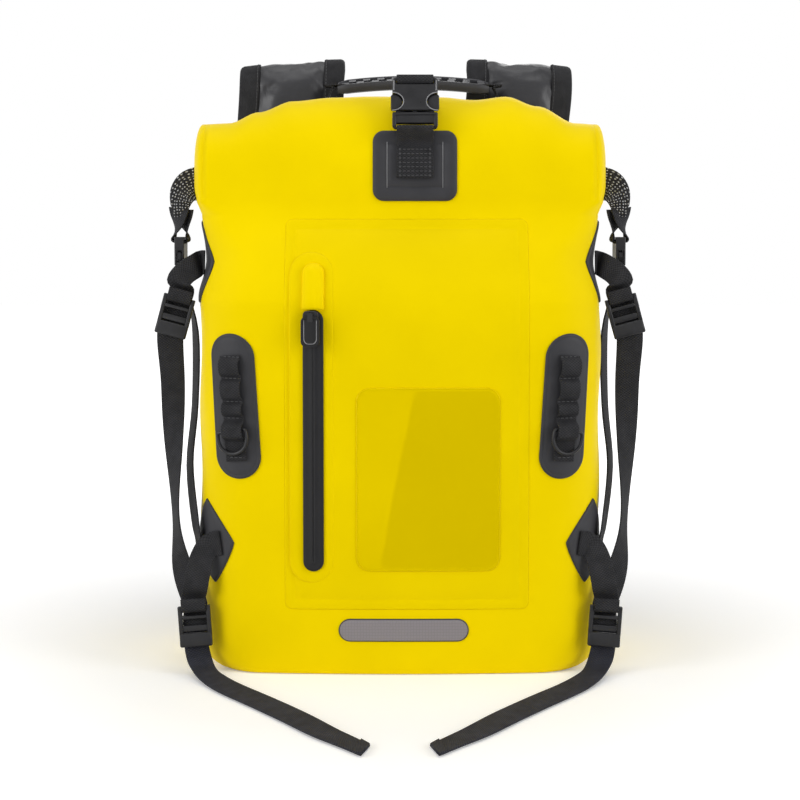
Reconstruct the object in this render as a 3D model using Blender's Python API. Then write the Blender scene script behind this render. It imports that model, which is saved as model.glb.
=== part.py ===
"""Roll-top dry backpack in welded tarpaulin, one object per sub-part.

Metres, +Z up, standing on z = 0, front facing -Y, left side at -X.
"""
import math

import bmesh
import bpy
from mathutils import Matrix, Vector

# Clearances
SEAT_GAP = 0.0004
RUN_GAP = 0.0006

# Bag body
BAG_HALF_WIDTH = 0.169
BAG_FRONT = 0.080
BAG_BACK = 0.083
BAG_CORNER = 0.046
FRONT_BULGE = 0.008
BAG_WALL = 0.0025
BASE_INSET = 0.022
BASE_ROUND = 0.032
STRAIGHT_TOP = 0.302
WAIST_RISE = 0.032
NECK_RISE = 0.040
WAIST_HEIGHT = STRAIGHT_TOP + WAIST_RISE
MOUTH_HEIGHT = WAIST_HEIGHT + NECK_RISE
WAIST_INSET = 0.010
WAIST_FRONT_INSET = 0.003
MOUTH_HALF_WIDTH = BAG_HALF_WIDTH - 0.001
MOUTH_FRONT = 0.058
MOUTH_BACK = 0.018
MOUTH_CORNER = 0.024

# Rolled collar
ROLL_HALF_LENGTH = MOUTH_HALF_WIDTH + 0.006
ROLL_LOWER_RISE = 0.0355
ROLL_MID_HEIGHT = 0.098
ROLL_END_HEIGHT = 0.0747
ROLL_FLAT_HALF = 0.085
ROLL_SLOPE_END = 0.145
ROLL_LOWER_POWER = 6.0
ROLL_UPPER_POWER = 2.2
STIFFENER_THICKNESS = 0.005
STIFFENER_WIDTH = 0.025
STIFFENER_SETBACK = 0.002

# Welded and sewn patches
PATCH_THICKNESS = 0.0018
PANEL_THICKNESS = 0.0016
PANEL_X = 0.0055
PANEL_BOTTOM = 0.057
PANEL_TOP = MOUTH_HEIGHT - 0.008
PANEL_HALF_WIDTH = BAG_HALF_WIDTH - 0.070
PANEL_CORNER = 0.020
ZIP_X = -0.0715
ZIP_TAPE_WIDTH = 0.018
ZIP_TAPE_BOTTOM = 0.085
ZIP_TAPE_TOP = STRAIGHT_TOP - 0.005
ZIP_TAPE_THICKNESS = 0.0014
GARAGE_HEIGHT = 0.036
GARAGE_THICKNESS = 0.0045
GARAGE_CORNER = 0.006
WINDOW_X = 0.0228
WINDOW_Z = 0.1597
WINDOW_HALF_WIDTH = 0.0588
WINDOW_HALF_HEIGHT = 0.0747
WINDOW_CORNER = 0.0114
WINDOW_THICKNESS = 0.001
STRIP_X = 0.003
STRIP_Z = 0.0366
STRIP_HALF_WIDTH = 0.052
STRIP_HEIGHT = 0.017
SIDE_PATCH_S = BAG_HALF_WIDTH - 0.032
SIDE_PATCH_Z = STRAIGHT_TOP - 0.085
SIDE_PATCH_HALF_WIDTH = 0.021
SIDE_PATCH_HALF_HEIGHT = 0.0595
SIDE_PATCH_LEAN = 0.15
UPPER_PATCH_S = BAG_HALF_WIDTH + 0.009
UPPER_PATCH_Z = WAIST_HEIGHT - 0.001
LOWER_PATCH_S = BAG_HALF_WIDTH - 0.011
LOWER_PATCH_Z = 0.107
DIAMOND_HALF_WIDTH = 0.023
DIAMOND_HALF_HEIGHT = 0.034
DIAMOND_TIP = 0.005
TOP_PATCH_X = 0.0122
TOP_PATCH_HALF_WIDTH = 0.0345
TOP_PATCH_HALF_HEIGHT = 0.0287
TOP_PATCH_RISE = 0.039
TOP_PATCH_CORNER = 0.009

# Webbing
WEBBING_WIDTH = 0.020
WEBBING_THICKNESS = 0.0014
TOP_WEBBING_WIDTH = 0.030
TOP_WEBBING_RISE = (-0.010, 0.000, 0.010, 0.018)

# Daisy chain and D-ring
DAISY_BOTTOM = SIDE_PATCH_Z - 0.0425
DAISY_TOP = SIDE_PATCH_Z + 0.043
RING_BAR_Z = SIDE_PATCH_Z - 0.018
RING_WIRE = 0.003
RING_CLEAR = 0.001
RING_SIDE_CLEAR = 0.0022
DAISY_WIDTH = 0.0175
DAISY_LOOP_HALF = 0.0088
RING_LEG = 0.006

# Side release buckles: body thickness, female and male heights for each webbing width
BUCKLE_MARGIN = 0.0035
BUCKLE_WALL = 0.0022
BUCKLE_SKIN = 0.0014
BUCKLE_BAR = 0.0022
BUCKLE_SLOT = 0.0034
BUCKLE_TONGUE = 0.003
PRONG_WIDTH = 0.0038
PRONG_CHEEK = 0.0027
PRONG_TRAVEL = 0.003
CORE_GAP = 0.0011
CHEEK_RISE = 0.0015
WINDOW_SHARE = 0.98
CUT_OVERRUN = 0.001
PRONG_BEVEL = 0.0002
TOP_BUCKLE_THICKNESS = 0.009
TOP_FEMALE_HEIGHT = 0.0287
TOP_MALE_HEIGHT = 0.014
TOP_BUCKLE_TILT = math.radians(15)
TOP_BUCKLE_FORWARD = 0.0085
TOP_BUCKLE_RISE = 0.082
SIDE_BUCKLE_THICKNESS = 0.008
SIDE_FEMALE_HEIGHT = 0.024
SIDE_MALE_HEIGHT = 0.012
SIDE_BUCKLE_X = BAG_HALF_WIDTH + 0.015
SIDE_BUCKLE_Z = MOUTH_HEIGHT - 0.043

# Ladder locks
LOCK_WIDTH = 0.0265
LOCK_HEIGHT = 0.034
LOCK_THICKNESS = 0.004
LOCK_BAR = 0.003
LOCK_SLOT = 0.0052
LOCK_SLOT_WIDTH = 0.0212
LOCK_CORNER = 0.004
UPPER_LOCK = Vector((-BAG_HALF_WIDTH - 0.021, -0.047, WAIST_HEIGHT - 0.043))
UPPER_LOCK_LEAN = math.radians(15)
LOWER_LOCK = Vector((-BAG_HALF_WIDTH + 0.002, -BAG_FRONT - 0.002, 0.039))
LOWER_LOCK_LEAN = math.radians(-4)
LOWER_ANCHOR_SHIFT = 0.006

# Left roll tab: how far out and up its sewn end and its bow stand from the end of the roll's waist line
END_TAB_SEWN = ((0.0, 0.014), (0.0, 0.004), (0.006, -0.005))
END_TAB_BOW = ((0.008, -0.016), (0.007, -0.028))

# Sewn end of an anchor, up and out from its patch
ANCHOR_SEWN = ((0.014, 0.0), (0.002, 0.0), (-0.006, 0.001))
LOWER_ANCHOR_DROP = 0.004

# Hang of the left side straps: share of the height from the lower end to the upper one, how far it
# stands out from the widest part of the bag, and how far it bows back from a straight line
COMPRESSION_HANG = ((0.778, 0.026, 0.0103), (0.579, 0.0255, 0.0157), (0.341, 0.0235, 0.0191),
                    (0.183, 0.018, 0.0156))
CLOSURE_FOOT = ((-0.016, 0.0), (-0.004, 0.0), (0.012, 0.003))
CLOSURE_HANG = ((0.75, 0.0075, -0.002), (0.482, 0.0075, -0.008), (0.259, 0.011, -0.014))

# Carry handle
HANDLE_X = 0.0117
HANDLE_Y = 0.080
GRIP_HALF_LENGTH = 0.067
GRIP_DEPTH = 0.025
GRIP_HEIGHT = 0.0115
HANDLE_FOOT_X = 0.078

# Webbing of the handle: its legs over the back pad, its bend into the grip and its turn in between
HANDLE_LEG = ((0.0, 0.004), (0.001, 0.030))
HANDLE_BEND = ((0.008, 0.022), (0.006, 0.008), (0.003, 0.002), (0.0, 0.0))
HANDLE_TWIST = (0.43, 0.83)

# Back pad and shoulder straps
BACK_PAD_HALF_WIDTH = 0.104
BACK_PAD_BOTTOM = 0.036
BACK_PAD_TOP = MOUTH_HEIGHT + 0.031
HANDLE_FOOT_Z = BACK_PAD_TOP - 0.037
GRIP_Z = HANDLE_FOOT_Z + 0.123
BACK_PAD_THICKNESS = 0.010
BACK_PAD_CROWN = 0.004
BACK_PAD_CHANNEL = 0.0025
BACK_PAD_CORNER = 0.030
BACK_PAD_RIM = 0.35
BACK_CROWN_LOW = 0.050
BACK_CROWN_HIGH = 0.290
BACK_CHANNEL_PLACE = 0.22
BACK_CHANNEL_SPREAD = 0.07
SHOULDER_X = 0.1015
SHOULDER_WIDTH = 0.094
SHOULDER_THICKNESS = 0.011
SHOULDER_PEAK = BACK_PAD_TOP + 0.101
SHOULDER_TURN = 0.015
SHOULDER_END_Z = 0.165
SHOULDER_FOOT_X = 0.1185
SHOULDER_FOOT_Z = 0.048
SHOULDER_LOCK_GAP = 0.0014
SHOULDER_FOOT_SINK = 0.0006

# Free webbing tail on the left, chosen by hand; the right one is its mirror image
TAIL_ROUTE = (
    (-0.1672, -0.0788, 0.0342),
    (-0.1667, -0.0788, 0.0270),
    (-0.1660, -0.0789, 0.0198),
    (-0.1642, -0.0815, 0.0132),
    (-0.1610, -0.0866, 0.0078),
    (-0.1562, -0.0938, 0.0042),
    (-0.1490, -0.1030, 0.0022),
    (-0.1395, -0.1145, 0.0013),
    (-0.1280, -0.1280, 0.0012),
    (-0.1155, -0.1430, 0.0012),
    (-0.1030, -0.1590, 0.0012),
    (-0.0910, -0.1760, 0.0012),
    (-0.0800, -0.1935, 0.0012),
    (-0.0700, -0.2115, 0.0012),
    (-0.0605, -0.2295, 0.0012),
    (-0.0510, -0.2460, 0.0012),
    (-0.0410, -0.2610, 0.0012),
    (-0.0310, -0.2745, 0.0012),
    (-0.0215, -0.2865, 0.0012),
)

# Colours and roughness of the finishes
TARPAULIN = ((0.85, 0.66, 0.0), 0.45)
CLEAR_FILM = ((0.80, 0.62, 0.05), 0.12)
BLACK_WEBBING = ((0.02, 0.02, 0.022), 0.85)
BLACK_PLASTIC = ((0.018, 0.018, 0.02), 0.40)
BLACK_RUBBER = ((0.03, 0.03, 0.032), 0.60)
PAD_FABRIC = ((0.045, 0.045, 0.048), 0.55)
REFLECTIVE = ((0.24, 0.21, 0.24), 0.35)

UP = Vector((0.0, 0.0, 1.0))
SIDES = ((-1, "left"), (1, "right"))


def clear_scene():
    for item in list(bpy.data.objects):
        bpy.data.objects.remove(item, do_unlink=True)


def new_collection(name):
    group = bpy.data.collections.new(name)
    bpy.context.scene.collection.children.link(group)
    return group


def finish_material(name, finish):
    colour, roughness = finish
    material = bpy.data.materials.new(name + "_finish")
    material.use_nodes = True
    shader = material.node_tree.nodes["Principled BSDF"]
    shader.inputs["Base Color"].default_value = (*colour, 1.0)
    shader.inputs["Roughness"].default_value = roughness
    shader.inputs["Metallic"].default_value = 0.0
    return material


def add_part(name, bm, finish, pivot=Vector()):
    """Turn a bmesh into a named part whose origin is at its pivot."""
    bmesh.ops.recalc_face_normals(bm, faces=bm.faces)
    bmesh.ops.translate(bm, verts=bm.verts, vec=-pivot)
    mesh = bpy.data.meshes.new(name)
    bm.to_mesh(mesh)
    bm.free()
    part = bpy.data.objects.new(name, mesh)
    part.location = pivot
    mesh.materials.append(finish_material(name, finish))
    PARTS.objects.link(part)
    return part


def add_cutter(target, bm, name):
    """Cut a bmesh out of a part with a live Boolean."""
    bmesh.ops.recalc_face_normals(bm, faces=bm.faces)
    mesh = bpy.data.meshes.new(name)
    bm.to_mesh(mesh)
    bm.free()
    cutter = bpy.data.objects.new(name, mesh)
    cutter.hide_render = True
    cutter.display_type = "WIRE"
    CUTTERS.objects.link(cutter)
    cut = target.modifiers.new(name, "BOOLEAN")
    cut.operation = "DIFFERENCE"
    cut.object = cutter


def loft(rings, closed=False):
    """Skin a row of rings; the ends are capped unless the row closes on itself."""
    bm = bmesh.new()
    rows = [[bm.verts.new(point) for point in ring] for ring in rings]
    count = len(rows[0])
    pairs = list(zip(rows, rows[1:]))
    if closed:
        pairs.append((rows[-1], rows[0]))
    for first, second in pairs:
        for i in range(count):
            j = (i + 1) % count
            bm.faces.new((first[i], first[j], second[j], second[i]))
    if not closed:
        bm.faces.new(rows[0])
        bm.faces.new(rows[-1])
    return bm


def sheet_solid(low, high):
    """Close two matching point grids into one thin solid."""
    bm = bmesh.new()
    under = [[bm.verts.new(point) for point in column] for column in low]
    over = [[bm.verts.new(point) for point in column] for column in high]
    columns = len(under)
    rows = len(under[0])
    for i in range(columns - 1):
        for j in range(rows - 1):
            for grid in (under, over):
                bm.faces.new((grid[i][j], grid[i + 1][j], grid[i + 1][j + 1], grid[i][j + 1]))
    rim = [(i, 0) for i in range(columns)]
    rim += [(columns - 1, j) for j in range(1, rows)]
    rim += [(i, rows - 1) for i in range(columns - 2, -1, -1)]
    rim += [(0, j) for j in range(rows - 2, 0, -1)]
    for (a, b), (c, d) in zip(rim, rim[1:] + rim[:1]):
        bm.faces.new((under[a][b], under[c][d], over[c][d], over[a][b]))
    return bm


def box(low, high, frame):
    """Box between two corners of a local frame."""
    bm = bmesh.new()
    centre = (Vector(low) + Vector(high)) / 2
    size = Vector(high) - Vector(low)
    scale = Matrix.Diagonal((*size, 1.0))
    bmesh.ops.create_cube(bm, size=1.0, matrix=frame @ Matrix.Translation(centre) @ scale)
    return bm


def plate(loops, thickness, frame, bevel=0.0004):
    """Flat moulding from closed outlines in the frame's XY plane, thickness along its Z."""
    curve = bpy.data.curves.new("outline", "CURVE")
    curve.dimensions = "2D"
    curve.fill_mode = "BOTH"
    curve.extrude = thickness / 2 - bevel
    curve.bevel_depth = bevel
    curve.bevel_resolution = 0
    curve.offset = -bevel
    for loop in loops:
        spline = curve.splines.new("POLY")
        spline.points.add(len(loop) - 1)
        for point, (x, y) in zip(spline.points, loop):
            point.co = (x, y, 0.0, 1.0)
        spline.use_cyclic_u = True
    holder = bpy.data.objects.new("outline", curve)
    bpy.context.scene.collection.objects.link(holder)
    bpy.context.view_layer.update()
    graph = bpy.context.evaluated_depsgraph_get()
    mesh = bpy.data.meshes.new_from_object(holder.evaluated_get(graph))
    bpy.data.objects.remove(holder, do_unlink=True)
    bm = bmesh.new()
    bm.from_mesh(mesh)
    bpy.data.meshes.remove(mesh)
    bmesh.ops.remove_doubles(bm, verts=bm.verts, dist=0.00001)
    bmesh.ops.transform(bm, matrix=frame, verts=bm.verts)
    return bm


def rounded_outline(half_width, half_height, radius, steps=3, centre=(0.0, 0.0)):
    """Rectangle with round corners, as a closed loop."""
    loop = []
    for turn, (sx, sy) in enumerate(((1, 1), (-1, 1), (-1, -1), (1, -1))):
        for k in range(steps + 1):
            angle = math.pi / 2 * (turn + k / steps)
            x = centre[0] + sx * (half_width - radius) + radius * math.cos(angle)
            y = centre[1] + sy * (half_height - radius) + radius * math.sin(angle)
            loop.append((x, y))
    return loop


def axes(origin, across, up):
    """Frame with X across, Y up and Z out of the face."""
    across = Vector(across).normalized()
    up = Vector(up).normalized()
    out = across.cross(up)
    frame = Matrix((across, up, out)).transposed().to_4x4()
    frame.translation = Vector(origin)
    return frame


def mirrored(frame, side):
    """Frame of the left side, or its mirror image on the right."""
    return frame if side < 0 else Matrix.Scale(-1, 4, Vector((1, 0, 0))) @ frame


def flip(point, side):
    """Point of the left side, or its mirror image on the right."""
    return Vector((point[0] * -side, point[1], point[2]))


def strap(points, across, width, thickness=WEBBING_THICKNESS):
    """Flat webbing along points; across gives the width direction at each of them."""
    points = [Vector(point) for point in points]
    rings = []
    for i, point in enumerate(points):
        run = points[min(i + 1, len(points) - 1)] - points[max(i - 1, 0)]
        run.normalize()
        wide = Vector(across[i])
        wide = (wide - run * wide.dot(run)).normalized()
        out = run.cross(wide)
        half = wide * (width / 2)
        thin = out * (thickness / 2)
        rings.append((point - half - thin, point + half - thin, point + half + thin, point - half + thin))
    bm = loft(rings)
    bmesh.ops.triangulate(bm, faces=bm.faces)
    return bm


def ease(t):
    t = min(max(t, 0.0), 1.0)
    return t * t * (3 - 2 * t)


def blend_points(points, steps):
    """Smooth curve through points, with steps pieces between each pair."""
    points = [Vector(point) for point in points]
    ends = [2 * points[0] - points[1], *points, 2 * points[-1] - points[-2]]
    curve = []
    for a, b, c, d in zip(ends, ends[1:], ends[2:], ends[3:]):
        for k in range(steps):
            t = k / steps
            curve.append(0.5 * (2 * b + (c - a) * t + (2 * a - 5 * b + 4 * c - d) * t ** 2
                                + (3 * b - a - 3 * c + d) * t ** 3))
    curve.append(points[-1])
    return curve


def bag_section(z):
    """Half width, front, back, corner radius and front bulge of the bag at a height."""
    if z < BASE_ROUND:
        inset = BASE_INSET * (1 - math.sin(math.acos(1 - max(z, 0.0) / BASE_ROUND)))
        fullness = 1 - inset / BASE_INSET
        return (BAG_HALF_WIDTH - inset, BAG_FRONT - inset, BAG_BACK - inset,
                BAG_CORNER - inset / 2, FRONT_BULGE * fullness)
    waist = ease((z - STRAIGHT_TOP) / (WAIST_HEIGHT - STRAIGHT_TOP))
    neck = min(max((z - WAIST_HEIGHT) / (MOUTH_HEIGHT - WAIST_HEIGHT), 0.0), 1.0)
    width = BAG_HALF_WIDTH - WAIST_INSET * waist
    width += (MOUTH_HALF_WIDTH - BAG_HALF_WIDTH + WAIST_INSET) * ease(neck)
    front = BAG_FRONT - WAIST_FRONT_INSET * waist
    front += (MOUTH_FRONT - BAG_FRONT + WAIST_FRONT_INSET) * ease(neck)
    back = MOUTH_BACK + (BAG_BACK - MOUTH_BACK) * math.cos(neck * math.pi / 2)
    corner = BAG_CORNER + (MOUTH_CORNER - BAG_CORNER) * ease(neck)
    return width, front, back, corner, FRONT_BULGE * (1 - ease(neck)) * (1 - waist / 4)


def section_point(section, s, z):
    """Point at a distance s round a section, from the front centre line towards +X."""
    width, front, back, corner, bulge = section
    sign = math.copysign(1.0, s)
    s = abs(s)
    flat = width - corner
    arc = corner * math.pi / 2
    flank = front + back - 2 * corner
    if s <= flat:
        x, y = s, -front
    elif s <= flat + arc:
        angle = (s - flat) / corner
        x = flat + corner * math.sin(angle)
        y = -front + corner - corner * math.cos(angle)
    elif s <= flat + arc + flank:
        x, y = width, -front + corner + (s - flat - arc)
    elif s <= flat + 2 * arc + flank:
        angle = (s - flat - arc - flank) / corner
        x = flat + corner * math.cos(angle)
        y = back - corner + corner * math.sin(angle)
    else:
        x, y = flat - (s - flat - 2 * arc - flank), back
    if y < 0:
        y -= bulge * (1 - (x / width) ** 2)
    return Vector((sign * x, y, z))


def lifted(surface, u, v, lift):
    """Point at a height over a surface given by two distances."""
    step = 0.0005
    along = surface(u + step, v) - surface(u - step, v)
    rise = surface(u, v + step) - surface(u, v - step)
    return surface(u, v) + along.cross(rise).normalized() * lift


def skin(s, z):
    return section_point(bag_section(z), s, z)


def on_skin(s, z, lift):
    return lifted(skin, s, z, lift)


def bag_ring(section, z):
    """Closed ring of points round a section."""
    width, front, back, corner, _ = section
    flat = width - corner
    arc = corner * math.pi / 2
    flank = front + back - 2 * corner
    stops = [0.0]
    for length, pieces in ((flat, 5), (arc, 6), (flank, 3), (arc, 6), (flat, 5)):
        start = stops[-1]
        stops += [start + length * (k + 1) / pieces for k in range(pieces)]
    right = [section_point(section, s, z) for s in stops]
    left = [Vector((-p.x, p.y, p.z)) for p in right[-2:0:-1]]
    return right + left


def bag_levels():
    """Heights of the bag's rings: close together at the base and above the straight sides."""
    levels = [BASE_ROUND * (1 - math.cos(math.pi / 2 * k / 5)) for k in range(6)]
    levels += [STRAIGHT_TOP + (WAIST_HEIGHT - STRAIGHT_TOP) * k / 4 for k in range(5)]
    levels += [WAIST_HEIGHT + (MOUTH_HEIGHT - WAIST_HEIGHT) * k / 8 for k in range(1, 9)]
    return levels


def build_bag_shell():
    rings = [bag_ring(bag_section(z), z) for z in bag_levels()]
    inner = []
    for z in bag_levels():
        width, front, back, corner, bulge = bag_section(z)
        thin = (width - BAG_WALL, front - BAG_WALL, back - BAG_WALL, corner - BAG_WALL, bulge)
        inner.append(bag_ring(thin, z + BAG_WALL if z <= BASE_ROUND else z))
    add_part("bag_shell", loft(rings + inner[::-1]), TARPAULIN)


def column_spots(u, v, half, lean, rows):
    """Spots up one column of a patch; lean shifts it sideways with height."""
    heights = [v + half * (2 * j / rows - 1) for j in range(rows + 1)]
    return [(u + lean * (height - v), height) for height in heights]


def rounded_columns(centre, half_u, half_v, radius, lean=0.0, count=10, rows=6):
    """Upright columns of spots that fill a rectangle with round corners."""
    columns = []
    for k in range(count + 1):
        u = half_u * math.sin(math.pi / 2 * (2 * k / count - 1))
        over = max(abs(u) - (half_u - radius), 0.0)
        half = half_v - radius + math.sqrt(max(radius ** 2 - over ** 2, 0.0))
        columns.append(column_spots(centre[0] + u, centre[1], max(half, radius / 6), lean, rows))
    return columns


def rounded_rows(centre_u, half_u, low, high, radius, count=12):
    """Level rows of spots that fill a rectangle with round corners, on the heights of the bag's rings."""
    corner = [radius * (1 - math.cos(math.pi / 2 * k / 4)) for k in range(5)]
    levels = {round(low + step, 6) for step in corner} | {round(high - step, 6) for step in corner}
    levels |= {round(z, 6) for z in bag_levels() if low + radius < z < high - radius}
    rows = []
    for z in sorted(levels):
        over = max(low + radius - z, z - high + radius, 0.0)
        half = half_u - radius + math.sqrt(max(radius ** 2 - over ** 2, 0.0))
        rows.append([(centre_u - half * (2 * k / count - 1), z) for k in range(count + 1)])
    return rows


def diamond_columns(centre, half_u, half_v, tip, lean=0.0, count=8, rows=12):
    """Upright columns of spots that fill a diamond with blunt tips."""
    columns = []
    for k in range(count + 1):
        u = half_u * (2 * k / count - 1)
        half = min(half_v - tip / 2, tip + (half_v - tip) * (1 - abs(u) / half_u))
        columns.append(column_spots(centre[0] + u, centre[1], half, lean, rows))
    return columns


def tile(surface, lines, lift, thickness):
    """Sheet over lines of spots on a surface; lift is a height or a function of v."""
    low = []
    high = []
    for line in lines:
        lifts = [lift(v) if callable(lift) else lift for _, v in line]
        low.append([lifted(surface, u, v, up) for (u, v), up in zip(line, lifts)])
        high.append([lifted(surface, u, v, up + thickness) for (u, v), up in zip(line, lifts)])
    return sheet_solid(low, high)


PANEL_LIFT = SEAT_GAP
ON_PANEL = PANEL_LIFT + PANEL_THICKNESS + SEAT_GAP
ON_PATCH = SEAT_GAP + PATCH_THICKNESS + SEAT_GAP


def build_front_pocket():
    rows = rounded_rows(PANEL_X, PANEL_HALF_WIDTH, PANEL_BOTTOM, PANEL_TOP, PANEL_CORNER)
    add_part("front_pocket_panel", tile(skin, rows, PANEL_LIFT, PANEL_THICKNESS), TARPAULIN)

    tape_z = (ZIP_TAPE_TOP + ZIP_TAPE_BOTTOM) / 2
    tape_half = (ZIP_TAPE_TOP - ZIP_TAPE_BOTTOM) / 2
    columns = rounded_columns((ZIP_X, tape_z), ZIP_TAPE_WIDTH / 2, tape_half, ZIP_TAPE_WIDTH / 2.2, count=6)
    add_part("zip_tape", tile(skin, columns, ON_PANEL, ZIP_TAPE_THICKNESS), BLACK_RUBBER)

    garage_z = ZIP_TAPE_TOP + SEAT_GAP + GARAGE_HEIGHT / 2
    columns = rounded_columns((ZIP_X, garage_z), ZIP_TAPE_WIDTH / 2, GARAGE_HEIGHT / 2, GARAGE_CORNER, count=6)
    add_part("zip_garage", tile(skin, columns, ON_PANEL, GARAGE_THICKNESS), TARPAULIN)

    columns = rounded_columns((WINDOW_X, WINDOW_Z), WINDOW_HALF_WIDTH, WINDOW_HALF_HEIGHT, WINDOW_CORNER)
    add_part("clear_window", tile(skin, columns, ON_PANEL, WINDOW_THICKNESS), CLEAR_FILM)

    columns = rounded_columns((STRIP_X, STRIP_Z), STRIP_HALF_WIDTH, STRIP_HEIGHT / 2, STRIP_HEIGHT / 2, rows=4)
    add_part("reflective_strip", tile(skin, columns, SEAT_GAP, PATCH_THICKNESS / 2), REFLECTIVE)


SLIDER_LENGTH = 0.020
SLIDER_WIDTH = 0.0125
SLIDER_THICKNESS = 0.003
SLIDER_CORNER = 0.003
BRIDGE_HEIGHT = 0.0044
BRIDGE_WIDTH = 0.0042
BRIDGE_LENGTH = 0.007
BRIDGE_SETBACK = 0.005
BRIDGE_SINK = 0.001
PULL_LENGTH = 0.024
PULL_WIDTH = 0.0155
PULL_THICKNESS = 0.0022
PULL_RIM = 0.0034
PULL_BEVEL = 0.0003


def build_zip_slider():
    """Slider with a bridge on top, and the U-shaped pull that hangs in the bridge."""
    middle = ZIP_TAPE_TOP - RUN_GAP - SLIDER_LENGTH / 2
    face = on_skin(ZIP_X, middle, ON_PANEL + ZIP_TAPE_THICKNESS + RUN_GAP)
    normal = (on_skin(ZIP_X, middle, 1.0) - on_skin(ZIP_X, middle, 0.0)).normalized()
    across = UP.cross(normal)
    frame = axes(face + normal * (SLIDER_THICKNESS / 2), across, UP)
    outline = rounded_outline(SLIDER_WIDTH / 2, SLIDER_LENGTH / 2, SLIDER_CORNER)
    bm = plate([outline], SLIDER_THICKNESS, frame)
    slider = add_part("zip_slider", bm, BLACK_PLASTIC, face)

    top = SLIDER_THICKNESS / 2
    bar = SLIDER_LENGTH / 2 - BRIDGE_SETBACK
    post = BRIDGE_WIDTH / 2
    foot = BRIDGE_LENGTH / 2
    bm = box((-post, bar - foot, top - BRIDGE_SINK), (post, bar + foot, top + BRIDGE_HEIGHT), frame)
    bmesh.ops.translate(bm, verts=bm.verts, vec=-face)
    add_join(slider, bm, "zip_bridge")
    hole = PULL_THICKNESS + 2 * RUN_GAP
    bm = box((-post * 2, bar - hole / 2, top + RUN_GAP / 2),
             (post * 2, bar + hole / 2, top + RUN_GAP / 2 + hole), frame)
    bmesh.ops.translate(bm, verts=bm.verts, vec=-face)
    add_cutter_local(slider, bm, "zip_bridge_hole")

    level = top + RUN_GAP * 1.5 + PULL_THICKNESS / 2
    pivot = frame @ Vector((0.0, bar, level))
    hang = axes(pivot, across, UP)
    half = PULL_WIDTH / 2
    rim = PULL_THICKNESS / 2
    outer = [(half, rim), (-half, rim)]
    inner = [(half - PULL_RIM, -rim), (-half + PULL_RIM, -rim)]
    for k in range(9):
        angle = math.pi + math.pi * k / 8
        depth = PULL_LENGTH - half
        outer.append((half * math.cos(angle), -depth + half * math.sin(angle)))
        inner.append(((half - PULL_RIM) * math.cos(angle), -depth + (half - PULL_RIM) * math.sin(angle)))
    bm = plate([outer, inner], PULL_THICKNESS, hang, PULL_BEVEL)
    add_part("zip_pull", bm, BLACK_PLASTIC, pivot)


def add_join(target, bm, name):
    """Weld a local bmesh onto a part with a live Boolean."""
    add_cutter_local(target, bm, name)
    target.modifiers[name].operation = "UNION"


def add_cutter_local(target, bm, name):
    """Cutter that sits on the part's own origin."""
    add_cutter(target, bm, name)
    tool = target.modifiers[name].object
    tool.location = target.location


def daisy_lift(z):
    """Height of the daisy chain over the bag: flat, with a loop over the ring's bar."""
    loop = ease(1 - abs(z - RING_BAR_Z) / DAISY_LOOP_HALF)
    return ON_PATCH + (ring_level() + RING_WIRE / 2 + 2 * RING_CLEAR - ON_PATCH) * min(1.0, loop * 1.9)


def ring_level():
    """Height of the ring's bar over the bag, clear of the webbing that runs under the ring."""
    return ON_PATCH + WEBBING_THICKNESS + RING_CLEAR + RING_WIRE / 2


def build_side_patches():
    for side, word in SIDES:
        centre = (side * SIDE_PATCH_S, SIDE_PATCH_Z)
        lean = side * SIDE_PATCH_LEAN
        columns = rounded_columns(centre, SIDE_PATCH_HALF_WIDTH, SIDE_PATCH_HALF_HEIGHT,
                                  SIDE_PATCH_HALF_WIDTH, lean, 12)
        add_part("side_patch_" + word, tile(skin, columns, SEAT_GAP, PATCH_THICKNESS), BLACK_RUBBER)

        middle = (DAISY_TOP + DAISY_BOTTOM) / 2
        half = (DAISY_TOP - DAISY_BOTTOM) / 2
        centre_s = side * (SIDE_PATCH_S + SIDE_PATCH_LEAN * (middle - SIDE_PATCH_Z))
        columns = [column_spots(centre_s + DAISY_WIDTH * (k / 4 - 0.5), middle, half, lean, 26)
                   for k in range(5)]
        bm = tile(skin, columns, daisy_lift, WEBBING_THICKNESS)
        add_part("daisy_chain_" + word, bm, BLACK_WEBBING)

        for label, s, z in (("upper", UPPER_PATCH_S, UPPER_PATCH_Z), ("lower", LOWER_PATCH_S, LOWER_PATCH_Z)):
            columns = diamond_columns((side * s, z), DIAMOND_HALF_WIDTH, DIAMOND_HALF_HEIGHT, DIAMOND_TIP,
                                      lean if label == "lower" else 0.0)
            bm = tile(skin, columns, SEAT_GAP, PATCH_THICKNESS)
            add_part(label + "_patch_" + word, bm, BLACK_RUBBER)


def ring_frame(side):
    """Frame of a D-ring: X along its bar, Y up the leaning webbing, Z away from the bag."""
    s = side * (SIDE_PATCH_S + SIDE_PATCH_LEAN * (RING_BAR_Z - SIDE_PATCH_Z))
    centre = on_skin(s, RING_BAR_Z, ring_level())
    normal = (on_skin(s, RING_BAR_Z, 1.0) - on_skin(s, RING_BAR_Z, 0.0)).normalized()
    up = skin(s + side * SIDE_PATCH_LEAN * RING_WIRE, RING_BAR_Z + RING_WIRE) - skin(s, RING_BAR_Z)
    up = (up - normal * up.dot(normal)).normalized()
    return axes(centre, up.cross(normal), up)


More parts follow.
